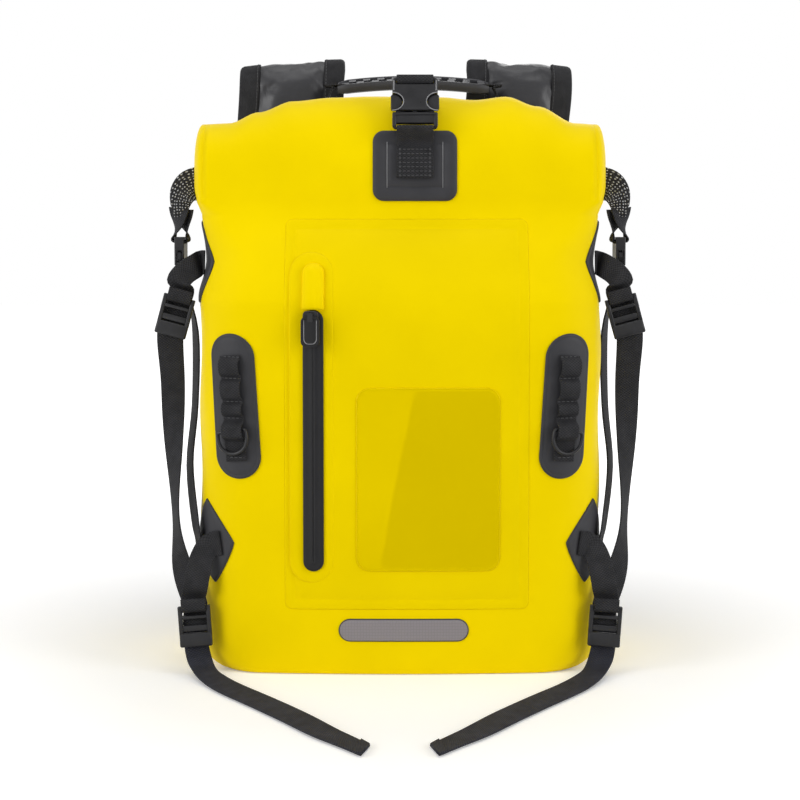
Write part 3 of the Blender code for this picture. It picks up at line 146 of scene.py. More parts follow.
# Webbing and hardware places of the CAD model; the upper locks stand 4 mm further in, along their hinge axis
WEBBING_WIDTH = 0.020
WEBBING_THICKNESS = 0.0014
TOP_WEBBING_WIDTH = 0.030
ROLL_BOTTOM = MOUTH_HEIGHT + SEAT
TOP_BUCKLE_RISE = 0.082
TOP_BUCKLE_TILT = math.radians(15)
TOP_BUCKLE_FORWARD = 0.0085
SIDE_BUCKLE_X = BAG_HALF_WIDTH + 0.015
SIDE_BUCKLE_Z = MOUTH_HEIGHT - 0.043
LOCK_WIDTH = 0.0265
LOCK_HEIGHT = 0.034
LOCK_THICKNESS = 0.004
LOCK_BAR = 0.003
LOCK_SLOT = 0.0052
LOCK_AXIS = LOCK_HEIGHT / 2 - LOCK_BAR / 2
HOOK_RADIUS = math.hypot(LOCK_THICKNESS, LOCK_BAR) / 2 + SEAT + WEBBING_THICKNESS / 2
BEHIND_LOCK = -(LOCK_THICKNESS / 2 + SEAT + WEBBING_THICKNESS / 2)
UPPER_LOCK = Vector((-BAG_HALF_WIDTH - 0.0171, -0.047, WAIST_HEIGHT - 0.044))
UPPER_LOCK_LEAN = math.radians(15)
LOWER_LOCK = Vector((-BAG_HALF_WIDTH + 0.002, -BAG_FRONT - 0.002, 0.039))
LOWER_LOCK_LEAN = math.radians(-4)
DAISY_BOTTOM = SIDE_PATCH_Z - 0.0425
DAISY_TOP = SIDE_PATCH_Z + 0.043
DAISY_WIDTH = 0.0175
RING_BAR_Z = SIDE_PATCH_Z - 0.018
RING_WIRE = 0.003
RING_LEVEL = ON_PATCH + WEBBING_THICKNESS + 0.001 + RING_WIRE / 2

# Free webbing tail on the left, given point by point; the right one is its mirror image
TAIL_ROUTE = (
    (-0.1672, -0.0788, 0.0342),
    (-0.1667, -0.0788, 0.0270),
    (-0.1660, -0.0789, 0.0198),
    (-0.1642, -0.0815, 0.0132),
    (-0.1610, -0.0866, 0.0078),
    (-0.1562, -0.0938, 0.0042),
    (-0.1490, -0.1030, 0.0022),
    (-0.1395, -0.1145, 0.0013),
    (-0.1280, -0.1280, 0.0012),
    (-0.1155, -0.1430, 0.0012),
    (-0.1030, -0.1590, 0.0012),
    (-0.0910, -0.1760, 0.0012),
    (-0.0800, -0.1935, 0.0012),
    (-0.0700, -0.2115, 0.0012),
    (-0.0605, -0.2295, 0.0012),
    (-0.0510, -0.2460, 0.0012),
    (-0.0410, -0.2610, 0.0012),
    (-0.0315, -0.2750, 0.0012),
    (-0.0240, -0.2860, 0.0012),
)
TAIL_LEAN = 0.16
TAIL_SWAY = 0.012
TAIL_BOW = 0.014

# Back pad, shoulder pads and handle
BACK_PAD_HALF_WIDTH = 0.104
BACK_PAD_BOTTOM = 0.036
BACK_PAD_TOP = MOUTH_HEIGHT + 0.031
BACK_PAD_THICKNESS = 0.010
BACK_PAD_CORNER = 0.030
BACK_PAD_MIDDLE = (BACK_PAD_TOP + BACK_PAD_BOTTOM) / 2
BACK_PAD_HALF_HEIGHT = (BACK_PAD_TOP - BACK_PAD_BOTTOM) / 2
BACK_PAD_Y = BAG_BACK + SEAT
SHOULDER_X = 0.1015
SHOULDER_SPREAD = 0.014
SHOULDER_WIDTH = 0.094
SHOULDER_THICKNESS = 0.011
SHOULDER_PEAK = BACK_PAD_TOP + 0.101
SHOULDER_END_Z = 0.165
SHOULDER_TURN = 0.015
SHOULDER_FOOT = (0.1185, 0.048)
SHOULDER_LOCK_GAP = 0.0014
SHOULDER_LOCK_TILT = 0.35
PAD_DRIFT = 0.0030
PAD_SHIFT = {-1: 0.0008, 1: 0.0098}
PAD_RISE = 0.0022
PAD_SLOPE = 0.075
PAD_FACE = BAG_BACK + 2 * SEAT + BACK_PAD_THICKNESS
PAD_FRONT = PAD_FACE + SHOULDER_THICKNESS / 2
PAD_REAR = PAD_FRONT + 2 * SHOULDER_TURN
HANDLE_X = 0.0117
HANDLE_Y = 0.080
HANDLE_FOOT = (0.078, BACK_PAD_TOP - 0.037)
GRIP_Z = BACK_PAD_TOP + 0.0838
GRIP_HALF_LENGTH = 0.067
GRIP_DEPTH = 0.025
GRIP_HEIGHT = 0.0088

# Middle line of a shoulder pad in Y and Z, with its width share and thickness share
SHOULDER_ROUTE = (
    (PAD_FACE + SHOULDER_THICKNESS * 0.19, BACK_PAD_TOP - 0.060, 0.94, 0.45),
    (PAD_FACE + SHOULDER_THICKNESS * 0.31, BACK_PAD_TOP - 0.035, 0.97, 0.70),
    (PAD_FRONT, BACK_PAD_TOP, 1.0, 1.0),
    (PAD_FRONT + 0.001, (SHOULDER_PEAK + BACK_PAD_TOP) / 2, 1.0, 1.0),
    (PAD_FRONT + 0.003, SHOULDER_PEAK - 0.022, 1.0, 1.0),
    (PAD_FRONT + 0.009, SHOULDER_PEAK - 0.005, 1.0, 0.95),
    (PAD_FRONT + SHOULDER_TURN + 0.004, SHOULDER_PEAK, 1.0, 0.95),
    (PAD_REAR, SHOULDER_PEAK - 0.006, 1.0, 0.95),
    (PAD_REAR + 0.010, SHOULDER_PEAK - 0.028, 0.99, 1.0),
    (PAD_REAR + 0.018, SHOULDER_PEAK - 0.065, 0.97, 1.05),
    (PAD_REAR + 0.024, SHOULDER_PEAK - 0.110, 0.94, 1.1),
    (PAD_REAR + 0.025, SHOULDER_PEAK - 0.165, 0.88, 1.1),
    (PAD_REAR + 0.020, SHOULDER_PEAK - 0.225, 0.80, 1.1),
    (PAD_REAR + 0.012, SHOULDER_PEAK - 0.285, 0.70, 1.0),
    (PAD_REAR + 0.004, SHOULDER_END_Z + 0.012, 0.60, 0.9),
    (PAD_REAR + 0.001, SHOULDER_END_Z, 0.50, 0.6),
)


def linear(hex_colour):
    """sRGB hex as linear RGBA."""
    channels = [int(hex_colour[i:i + 2], 16) / 255 for i in (0, 2, 4)]
    return (*[c / 12.92 if c <= 0.04045 else ((c + 0.055) / 1.055) ** 2.4 for c in channels], 1.0)


def ease(t):
    """Smooth step from 0 to 1."""
    t = min(max(t, 0.0), 1.0)
    return t * t * (3 - 2 * t)


def bump(t):
    """Round swell that is 1 at t = 0 and gone at t = 1 and -1."""
    return ease(1 - abs(t))


def spread(low, high, count):
    """Even places from low to high, in count steps."""
    return [low + (high - low) * k / count for k in range(count + 1)]


def along(table, x):
    """Smooth value between the places of a table."""
    for (x0, v0), (x1, v1) in zip(table, table[1:]):
        if x <= x1:
            return v0 + (v1 - v0) * ease((x - x0) / (x1 - x0))
    return table[-1][1]


def blend_points(points, steps):
    """Smooth curve through points, with steps pieces between each pair."""
    points = [Vector(point) for point in points]
    ends = [2 * points[0] - points[1], *points, 2 * points[-1] - points[-2]]
    curve = []
    for a, b, c, d in zip(ends, ends[1:], ends[2:], ends[3:]):
        for k in range(steps):
            t = k / steps
            curve.append(0.5 * (2 * b + (c - a) * t + (2 * a - 5 * b + 4 * c - d) * t ** 2
                                + (3 * b - a - 3 * c + d) * t ** 3))
    curve.append(points[-1])
    return curve


def flip(point, side):
    """Point of the left side, or its mirror image on the right."""
    return Vector((point[0] * -side, point[1], point[2]))


# Surfaces of the bag and the roll


def bag_section(z):
    """Half width, front, back, corner radius and front bulge of the bag at a height."""
    if z < BASE_ROUND:
        inset = BASE_INSET * (1 - math.sin(math.acos(1 - max(z, 0.0) / BASE_ROUND)))
        fullness = 1 - inset / BASE_INSET
        return (BAG_HALF_WIDTH - inset, BAG_FRONT - inset * BASE_FRONT_SHARE, BAG_BACK - inset,
                BAG_CORNER - inset / 2, FRONT_BULGE * (0.95 + 0.05 * fullness))
    waist = ease((z - STRAIGHT_TOP) / (WAIST_HEIGHT - STRAIGHT_TOP))
    neck = min(max((z - WAIST_HEIGHT) / (MOUTH_HEIGHT - WAIST_HEIGHT), 0.0), 1.0)
    width = BAG_HALF_WIDTH - WAIST_INSET * waist
    width += (MOUTH_HALF_WIDTH - BAG_HALF_WIDTH + WAIST_INSET) * ease(neck)
    rise = min(max((z - STRAIGHT_TOP) / (MOUTH_HEIGHT - STRAIGHT_TOP), 0.0), 1.0)
    front = BAG_FRONT + (MOUTH_FRONT - BAG_FRONT) * (0.6 * rise + 0.4 * ease(rise))
    back = MOUTH_BACK + (BAG_BACK - MOUTH_BACK) * math.cos(neck * math.pi / 2)
    corner = BAG_CORNER + (MOUTH_CORNER - BAG_CORNER) * ease(neck)
    return width, front, back, corner, FRONT_BULGE * (1 - ease(neck)) * (1 - waist / 4)


def section_lengths(section):
    """Half of the front, a corner, a flank, a corner and half of the back, as lengths round the bag."""
    width, front, back, corner, _ = section
    arc = corner * math.pi / 2
    return width - corner, arc, front + back - 2 * corner, arc, width - corner


def plain_skin(s, z):
    """Bag surface without its sag, at a distance round from the front middle line and a height."""
    section = bag_section(z)
    width, front, back, corner, bulge = section
    flat, arc, flank, _, _ = section_lengths(section)
    sign = math.copysign(1.0, s)
    s = abs(s)
    if s <= flat:
        x, y = s, -front
    elif s <= flat + arc:
        angle = (s - flat) / corner
        x = flat + corner * math.sin(angle)
        y = -front + corner - corner * math.cos(angle)
    elif s <= flat + arc + flank:
        x, y = width, -front + corner + (s - flat - arc)
    elif s <= flat + 2 * arc + flank:
        angle = (s - flat - arc - flank) / corner
        x = flat + corner * math.cos(angle)
        y = back - corner + corner * math.sin(angle)
    else:
        x, y = flat - (s - flat - 2 * arc - flank), back
    if y < 0:
        y -= bulge * (1 - (x / width) ** 2)
    return Vector((sign * x, y, z))


def sag(s, z):
    """How far the fabric swells or falls from the plain shape; base, mouth, zip, patches and pocket hold it."""
    hold = ease(z / 0.06) * ease((MOUTH_HEIGHT - z) / 0.02)
    hold *= ease((abs(s - ZIP_X) - 0.015) / 0.03) * ease((abs(abs(s) - SIDE_PATCH_S) - 0.022) / 0.03)
    hold *= ease((abs(s) - 0.085) / 0.04)
    side = bump((abs(s) - 0.215) / 0.080)
    wave = 0.9 * math.sin(s * 23 + z * 17) * math.sin(z * 31 + 0.6) + 0.5 * math.sin(s * 41 - z * 52 + 1.1)
    fold = 1.1 * math.sin((z - 0.05) * 58 + s * 9) * side
    return hold * (MM * (wave * 0.6 + fold) - FLANK_DRAW * ease((abs(s) - 0.14) / 0.03))


def lifted(surface, u, v, lift):
    """Point at a height over a surface given by two distances."""
    across = surface(u + NEARER, v) - surface(u - NEARER, v)
    rise = surface(u, v + NEARER) - surface(u, v - NEARER)
    return surface(u, v) + across.cross(rise).normalized() * lift


def skin(s, z):
    """Bag surface with its sag."""
    return lifted(plain_skin, s, z, sag(s, z))


def skin_across(s, z):
    """Level way along the skin, to the right in front."""
    return (skin(s + NEAR, z) - skin(s - NEAR, z)).normalized()


def roll_face(x, z):
    """Front face of the roll at a height."""
    rise = along(ROLL_TOP, x) - ROLL_WAIST if z > ROLL_WAIST else ROLL_LOWER_RISE
    power = ROLL_UPPER_POWER if z > ROLL_WAIST else ROLL_LOWER_POWER
    share = min(abs(z - ROLL_WAIST) / rise, NEARLY_ALL)
    return Vector((x, ROLL_Y - ROLL_HALF_DEPTH * (1 - share ** power) ** (1 / power), z))


def seen_patch_s(side, z):
    """Distance round the bag of a side patch's middle line at a height."""
    return side * (SEEN_PATCH_S + SEEN_PATCH_LEAN * (z - SEEN_PATCH_Z))


# Mesh makers

FINISHES = {}
CRISP_ANGLE = math.radians(40)
UNDER = 0.0001


def finish_mesh(name, bm, material, smooth=True):
    """Object of the scene from a bmesh, faces outwards."""
    bmesh.ops.remove_doubles(bm, verts=bm.verts, dist=0.00001)
    bmesh.ops.recalc_face_normals(bm, faces=bm.faces)
    mesh = bpy.data.meshes.new(name)
    bm.to_mesh(mesh)
    bm.free()
    mesh.materials.append(material)
    return link_mesh(name, mesh, smooth)


def link_mesh(name, mesh, smooth=True):
    """Object of the scene from a mesh."""
    piece = bpy.data.objects.new(name, mesh)
    bpy.context.scene.collection.objects.link(piece)
    shade(piece, smooth)
    return piece


def shade(piece, smooth=True):
    """Smooth or flat faces all over a piece."""
    for face in piece.data.polygons:
        face.use_smooth = smooth


def evaluated_mesh(piece):
    """New mesh with the modifiers of a piece applied."""
    graph = bpy.context.evaluated_depsgraph_get()
    return bpy.data.meshes.new_from_object(piece.evaluated_get(graph))


def settle(piece, body, slot, *nodes):
    """Let a piece ride a body and stand for CAD nodes; slot is not used."""
    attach(piece, body)
    if nodes:
        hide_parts(*nodes)


def make_piece(name, bm, finish, body, slot, *nodes, crisp=False):
    """Finished piece of the backpack from a bmesh; a crisp one keeps its hard edges."""
    piece = finish_mesh(name, bm, FINISHES[finish])
    if crisp:
        piece.data.set_sharp_from_angle(angle=CRISP_ANGLE)
    settle(piece, body, slot, *nodes)
    return piece


def loft(rings, bm=None, uvs=None, closed=False, capped=True):
    """Skin a row of rings with quads; uvs gives each ring's places on a strap, across and along in metres."""
    bm = bm or bmesh.new()
    layer = uvs and (bm.loops.layers.uv.get("strap") or bm.loops.layers.uv.new("strap"))
    rows = [[bm.verts.new(point) for point in ring] for ring in rings]
    count = len(rows[0])
    for first, second in zip(rows, rows[1:] + (rows[:1] if closed else [])):
        for i in range(count):
            j = (i + 1) % count
            bm.faces.new((first[i], first[j], second[j], second[i]))
    if capped and not closed:
        bm.faces.new(rows[0])
        bm.faces.new(rows[-1])
    if uvs:
        places = {vert: uv for row, spots in zip(rows, uvs) for vert, uv in zip(row, spots)}
        for face in bm.faces:
            for loop in face.loops:
                if loop.vert in places:
                    loop[layer].uv = places[loop.vert]
    return bm


def rounded_loop(half, radius, inset, corner_steps=8, edge_steps=12):
    """Rectangle with round corners, drawn in by an inset, with the same count of points at any inset."""
    half_u = max(half[0] - inset, 0.0)
    half_v = max(half[1] - inset, 0.0)
    radius = max(min(radius - inset, half_u, half_v), 0.0)
    corners = []
    for turn, (su, sv) in enumerate(((1, 1), (-1, 1), (-1, -1), (1, -1))):
        arc = []
        for k in range(corner_steps + 1):
            angle = math.pi / 2 * (turn + k / corner_steps)
            arc.append((su * (half_u - radius) + radius * math.cos(angle),
                        sv * (half_v - radius) + radius * math.sin(angle)))
        corners.append(arc)
    loop = []
    for arc, ahead in zip(corners, corners[1:] + corners[:1]):
        loop += arc
        for k in range(1, edge_steps):
            t = k / edge_steps
            loop.append((arc[-1][0] + (ahead[0][0] - arc[-1][0]) * t, arc[-1][1] + (ahead[0][1] - arc[-1][1]) * t))
    return loop


def diamond_loop(half, inset, steps=64, power=1.16):
    """Diamond with slightly rounded sides, drawn in by an inset."""
    share = max(1 - inset / half[0], 0.0)
    loop = []
    for k in range(steps):
        angle = 2 * math.pi * k / steps
        c = math.cos(angle)
        s = math.sin(angle)
        loop.append((half[0] * share * math.copysign(abs(c) ** (2 / power), c),
                     half[1] * share * math.copysign(abs(s) ** (2 / power), s)))
    return loop


def patch_mesh(surface, centre, outline, profile, under=UNDER, lean=0.0):
    """Closed sheet over a surface; outline gives its loop at an inset, profile its insets and heights in mm."""
    tops = []
    bottoms = []
    for inset, height in profile:
        spots = [(centre[0] + u + lean * v, centre[1] + v) for u, v in outline(inset * MM)]
        tops.append([lifted(surface, u, v, height * MM) for u, v in spots])
        bottoms.append([lifted(surface, u, v, under) for u, v in spots])
    return loft(tops[::-1] + bottoms)


# Materials


def connect(tree, node, inputs):
    """Set a node's inputs; one that is given a socket or a node is linked to it."""
    for key, value in inputs.items():
        if isinstance(value, bpy.types.Node):
            value = value.outputs[0]
        if isinstance(value, bpy.types.NodeSocket):
            tree.links.new(value, node.inputs[key])
        else:
            node.inputs[key].default_value = value


def add_node(tree, kind, inputs=None, stops=(), **settings):
    """New node with its settings, the stops of its colour ramp and its inputs."""
    node = tree.nodes.new(kind)
    for key, value in settings.items():
        setattr(node, key, value)
    for k, (spot, colour) in enumerate(stops):
        node.color_ramp.elements[k].position = spot
        node.color_ramp.elements[k].color = colour
    connect(tree, node, inputs or {})
    return node


def tinted(colour, factor):
    """Colour made lighter or darker by a factor."""
    return (*[c * factor for c in colour[:3]], 1.0)


class Look:
    """Material in the making: its node tree and its Object coordinates, in metres."""

    TEXTURES = ("TexNoise", "TexVoronoi")

    def __init__(self, name):
        self.material = bpy.data.materials.new(name)
        self.material.use_nodes = True
        self.tree = self.material.node_tree
        self.place = self.add("TexCoord").outputs["Object"]

    def add(self, kind, inputs=None, **settings):
        """New shader node; a texture reads the Object coordinates unless it is given others."""
        given = {"Vector": self.place} if kind in self.TEXTURES else {}
        return add_node(self.tree, "ShaderNode" + kind, {**given, **(inputs or {})}, **settings)

    def finish(self, inputs):
        """Finished material, with the inputs of its surface."""
        connect(self.tree, self.tree.nodes["Principled BSDF"], inputs)
        return self.material


def seen_rays(tree):
    """1 for rays that show something to the viewer, straight, mirrored or through film, and 0 for others."""
    path = add_node(tree, "ShaderNodeLightPath").outputs
    seen = path["Is Camera Ray"]
    for kind in ("Is Glossy Ray", "Is Transmission Ray"):
        seen = add_node(tree, "ShaderNodeMath", {0: seen, 1: path[kind]}, operation="MAXIMUM")
    return seen


def tarpaulin_material(name, bright, dull):
    """PVC-coated polyester tarpaulin, calendered: a satin film with a soft grain and faint creases."""
    look = Look(name)
    # The real film's grain is about 0.4 mm; it is drawn at 1.6 mm so that it shows in the render
    grain = look.add("TexNoise", {"Scale": 1 / (1.6 * MM), "Detail": 2.0})
    folds = look.add("TexNoise", {"Scale": 1 / (34 * MM), "Detail": 3.0, "Distortion": 0.6})
    creases = look.add("Bump", {"Height": folds, "Strength": 0.20, "Distance": 3 * MM})
    cloud = look.add("TexNoise", {"Scale": 1 / (90 * MM), "Detail": 2.0})
    return look.finish({
        "Base Color": look.add("ValToRGB", {"Fac": cloud}, stops=((0.30, dull), (0.70, bright))),
        "Roughness": look.add("MapRange", {"Value": grain, "To Min": 0.46, "To Max": 0.60}),
        "Specular IOR Level": 0.30, "Specular Tint": bright,
        "Normal": look.add("Bump", {"Height": grain, "Strength": 0.10, "Distance": 0.3 * MM, "Normal": creases})})


def rubber_material(name, colour, grain_size, roughness):
    """Thermoplastic rubber sheet, pressed: matt, with a fine pebble from the press plate."""
    look = Look(name)
    cloud = look.add("TexNoise", {"Scale": 1 / (14 * MM), "Detail": 3.0})
    pebble = look.add("TexVoronoi", {"Scale": 1 / grain_size})
    return look.finish({
        "Base Color": look.add("ValToRGB", {"Fac": cloud}, stops=((0.0, colour), (1.0, tinted(colour, 1.5)))),
        "Roughness": look.add("MapRange", {"Value": cloud, "To Min": roughness - 0.08, "To Max": roughness + 0.08}),
        "Specular IOR Level": 0.22,
        "Normal": look.add("Bump", {"Height": pebble, "Strength": 0.25, "Distance": 0.3 * MM})})


def film_material(colours):
    """Clear vinyl film laid on the pocket: the yellow shows through, under a smooth glossy face."""
    look = Look("clear_vinyl_film")
    cloud = look.add("TexNoise", {"Scale": 1 / (70 * MM), "Detail": 1.0})
    return look.finish({
        "Base Color": look.add("ValToRGB", {"Fac": cloud}, stops=((0.0, colours.film_shade), (1.0, colours.film))),
        "Roughness": 0.02, "Specular IOR Level": 0.9, "Specular Tint": colours.tarpaulin})


def webbing_material(name, colour, rib, dots=0.0):
    """Woven polyester webbing: cross ribs and warp lines on the strap's own UV, which is in metres, with painted
    highlights on the ribs and painted shade in the grooves.
    """
    look = Look(name)
    place = look.add("UVMap", uv_map="strap")
    split = look.add("SeparateXYZ", {"Vector": place}).outputs
    waves = []
    for axis, pace in (("Y", 2 * math.pi / rib), ("X", 2 * math.pi / rib / 1.4)):
        waves.append(look.add("Math", {0: look.add("Math", {0: split[axis], 1: pace}, operation="MULTIPLY")},
                              operation="SINE"))
    weave = look.add("Math", {0: waves[0], 1: waves[1]}, operation="MULTIPLY")
    cloud = look.add("TexNoise", {"Scale": 1 / (9 * MM), "Detail": 4.0})
    worn = look.add("MapRange", {"Value": cloud, "From Min": 0.25, "From Max": 0.75, "To Min": 0.75, "To Max": 1.35})
    # Painted highlight and shade: the colour is scaled up on the ribs and down in the grooves, by the same weave that
    # makes the bump
    ribs = look.add("MapRange", {"Value": weave, "From Min": -1.0, "To Min": 0.55, "To Max": 1.50})
    light = look.add("Math", {0: worn, 1: ribs}, operation="MULTIPLY")
    shown = look.add("VectorMath", {0: tuple(colour[:3]), "Scale": light}, operation="SCALE")
    if dots:
        spots = look.add("VectorMath", {0: place, 1: (1 / dots, 1 / dots, 1.0)}, operation="MULTIPLY")
        cells = look.add("TexVoronoi", {"Vector": spots, "Scale": 1.0, "Randomness": 0.35}, voronoi_dimensions="2D")
        mask = look.add("MapRange", {"Value": cells, "From Min": 0.19, "From Max": 0.25, "To Min": 1.0, "To Max": 0.0})
        shown = look.add("Mix", {0: mask, 6: shown, 7: linear("B4B5B8")}, data_type="RGBA").outputs[2]
    return look.finish({
        "Base Color": shown, "Roughness": 0.72, "Specular IOR Level": 0.15,
        "Normal": look.add("Bump", {"Height": weave, "Strength": 0.55, "Distance": 0.35 * MM})})


def plastic_material(name, colour):
    """Acetal resin, injection moulded: dark, satin, with a spark-eroded texture and paler rubbed spots."""
    look = Look(name)
    cloud = look.add("TexNoise", {"Scale": 1 / (11 * MM), "Detail": 3.0})
    spark = look.add("TexNoise", {"Scale": 1 / (0.9 * MM), "Detail": 3.0})
    return look.finish({
        "Base Color": look.add("ValToRGB", {"Fac": cloud}, stops=((0.3, colour), (0.75, tinted(colour, 1.6)))),
        "Roughness": look.add("MapRange", {"Value": cloud, "To Min": 0.24, "To Max": 0.38}),
        "Specular IOR Level": 0.28,
        "Normal": look.add("Bump", {"Height": spark, "Strength": 0.12, "Distance": 0.2 * MM})})


def pad_material(colours):
    """Coated nylon over foam: a fine plain weave under a smooth coat that takes long soft highlights, with painted
    sheen where the creases rise.
    """
    look = Look("coated_nylon_dark")
    crease = look.add("TexNoise", {"Scale": 1 / (22 * MM), "Detail": 3.0, "Distortion": 0.8})
    soft = look.add("Bump", {"Height": crease, "Strength": 0.35, "Distance": 3 * MM})
    # Threads of about 0.4 mm are drawn at 1.3 mm so that the weave shows in the render
    weave = look.add("TexVoronoi", {"Scale": 1 / (1.3 * MM), "Randomness": 0.15})
    # Painted sheen: the colour rises with the crease noise that also bumps the surface, so the crests of the creases
    # are painted lighter
    tones = ((0.0, colours.pad), (1.0, tinted(colours.pad, 1.7)))
    return look.finish({
        "Base Color": look.add("ValToRGB", {"Fac": crease}, stops=tones),
        "Roughness": look.add("MapRange", {"Value": crease, "To Min": 0.30, "To Max": 0.44}),
        "Specular IOR Level": 0.5,
        "Normal": look.add("Bump", {"Height": weave, "Strength": 0.12, "Distance": 0.3 * MM, "Normal": soft})})


def mesh_material(colours):
    """Knitted spacer mesh: rows of round openings that let air through the back pad, with painted shade in the sunk
    openings.
    """
    look = Look("spacer_mesh_dark")
    cells = look.add("TexVoronoi", {"Scale": 1 / (3.6 * MM), "Randomness": 0.2})
    # Painted shade: the openings, sunk by the bump, are drawn much darker than the knit round them
    tones = ((0.18, tinted(colours.pad, 0.3)), (0.42, tinted(colours.pad, 1.5)))
    return look.finish({
        "Base Color": look.add("ValToRGB", {"Fac": cells}, stops=tones), "Roughness": 0.85,
        "Specular IOR Level": 0.2, "Normal": look.add("Bump", {"Height": cells, "Strength": 0.6, "Distance": MM})})


def reflective_material(colours):
    """Retroreflective tape: glass beads under a film, a pale grey with a fine honeycomb."""
    look = Look("retroreflective_tape_grey")
    cells = look.add("TexVoronoi", {"Scale": 1 / (2.4 * MM), "Randomness": 0.2}, feature="DISTANCE_TO_EDGE")
    tones = ((0.0, tinted(colours.reflective, 0.82)), (0.12, colours.reflective))
    return look.finish({"Base Color": look.add("ValToRGB", {"Fac": cells}, stops=tones), "Roughness": 0.38,
                        "Specular IOR Level": 0.3})


COLOURS = (
    ("tarpaulin", "Yellow of the bag where it is fullest", "FBDD00"),
    ("tarpaulin_shade", "Yellow of the bag where it is dullest", "F4D600"),
    ("pocket", "Deeper yellow of the pocket panel where it is fullest", "F6D900"),
    ("pocket_shade", "Deeper yellow of the pocket panel where it is dullest", "EFD200"),
    ("film", "Yellow seen through the clear film", "E4C800"),
    ("film_shade", "Duller yellow seen through the clear film", "DEC200"),
    ("rubber", "Dark grey of the rubber patches", "303033"),
    ("grip", "Grey of the handle's grip", "38383B"),
    ("zip_tape", "Black of the coated zip tape", "1C1C1E"),
    ("webbing", "Black of the webbing", "29292B"),
    # tail: painted light, the same webbing as the straps drawn lighter where it lies on the floor
    ("tail", "Lighter black of the tails on the floor", "2B2C33"),
    ("plastic", "Black of the moulded hardware", "202022"),
    ("pull", "Deep black of the zip pull", "0E0E10"),
    # edge: painted highlight, a pale grey that stands for light caught on rounded edges
    ("edge", "Pale grey of painted highlights on edges", "7C7C7E"),
    ("thread", "Grey of the sewing thread", "464648"),
    ("pad", "Dark grey of the padded fabric", "141418"),
    ("reflective", "Grey of the reflective strip", "8A858A"),
)
SIZES = (
    ("webbing_width", "Width of the side straps", WEBBING_WIDTH),
    ("top_webbing_width", "Width of the strap over the roll", TOP_WEBBING_WIDTH),
    ("webbing_thickness", "Thickness of all webbing", WEBBING_THICKNESS),
    ("rib", "Spacing of the cross ribs of the webbing", 0.0021),
)


def label(key):
    """Text of a button or field for a key."""
    return key.replace("_", " ").capitalize()


class BackpackColours(bpy.types.PropertyGroup):
    """Colours of the backpack's finishes."""

    __annotations__ = {
        key: bpy.props.FloatVectorProperty(name=label(key), description=text, size=4, subtype="COLOR",
                                           default=linear(colour))
        for key, text, colour in COLOURS}


class BackpackSizes(bpy.types.PropertyGroup):
    """Sizes of the soft pieces."""

    __annotations__ = {
        key: bpy.props.FloatProperty(name=label(key), description=text, default=size, unit="LENGTH")
        for key, text, size in SIZES}


def make_finishes(colours, sizes):
    """All materials of the backpack, by the names that the pieces ask for."""
    FINISHES.update(
        tarpaulin=tarpaulin_material("pvc_tarpaulin_yellow", colours.tarpaulin, colours.tarpaulin_shade),
        pocket=tarpaulin_material("pvc_tarpaulin_pocket", colours.pocket, colours.pocket_shade),
        film=film_material(colours),
        rubber=rubber_material("tpu_patch_dark_grey", colours.rubber, 0.9 * MM, 0.5),
        zip_tape=rubber_material("coated_zip_tape_black", colours.zip_tape, 1.4 * MM, 0.42),
        webbing=webbing_material("polyester_webbing_black", colours.webbing, sizes.rib),
        # Painted light: the tails are the straps' own webbing in a lighter black
        tail=webbing_material("polyester_webbing_tail_painted_light", colours.tail, sizes.rib),
        dotted=webbing_material("reflective_dot_webbing", colours.webbing, sizes.rib, 2.4 * MM),
        binding=webbing_material("grosgrain_binding_black", colours.webbing, 1.3 * MM),
        grip=rubber_material("moulded_rubber_grip", colours.grip, 1.2 * MM, 0.45),
        plastic=plastic_material("acetal_resin_black", colours.plastic),
        pull=plastic_material("acetal_resin_deep_black", colours.pull),
        # Painted highlights: this pale plastic draws the light caught on the buckle's lips, the pull's line and the
        # top patch's ridges
        edge=plastic_material("acetal_resin_painted_edge_highlight", colours.edge),
        thread=rubber_material("bonded_thread_grey", colours.thread, 0.7 * MM, 0.6),
        pad=pad_material(colours),
        mesh=mesh_material(colours),
        reflective=reflective_material(colours))


# Rows of small pieces, laid out with Geometry Nodes


ROW_INPUTS = (("Lines", "Geometry"), ("Spacing", "Float"), ("Size", "Vector"), ("Material", "Material"))


def row_tree():
    """Node tree that repeats a small box along lines, its top turned along the lines' out vector."""
    tree = bpy.data.node_groups.new("repeat_along_lines", "GeometryNodeTree")
    for name, kind in ROW_INPUTS:
        tree.interface.new_socket(name, in_out="INPUT", socket_type="NodeSocket" + kind)
    tree.interface.new_socket("Row", in_out="OUTPUT", socket_type="NodeSocketGeometry")
    given = add_node(tree, "NodeGroupInput").outputs
    curve = add_node(tree, "GeometryNodeMeshToCurve", {"Mesh": given["Lines"]})
    spots = add_node(tree, "GeometryNodeResampleCurve", {"Curve": curve, "Length": given["Spacing"]}, mode="LENGTH")
    run = add_node(tree, "GeometryNodeInputTangent")
    out = add_node(tree, "GeometryNodeInputNamedAttribute", {"Name": "out"}, data_type="FLOAT_VECTOR")
    turn = add_node(tree, "FunctionNodeAlignRotationToVector", {"Vector": run}, axis="X")
    turn = add_node(tree, "FunctionNodeAlignRotationToVector", {"Rotation": turn, "Vector": out}, axis="Z",
                    pivot_axis="X")
    box = add_node(tree, "GeometryNodeMeshCube", {"Size": (1.0, 1.0, 1.0)})
    row = add_node(tree, "GeometryNodeInstanceOnPoints",
                   {"Points": spots, "Instance": box, "Rotation": turn, "Scale": given["Size"]})
    whole = add_node(tree, "GeometryNodeRealizeInstances", {"Geometry": row})
    dressed = add_node(tree, "GeometryNodeSetMaterial", {"Geometry": whole, "Material": given["Material"]})
    add_node(tree, "NodeGroupOutput", {"Row": dressed})
    return tree


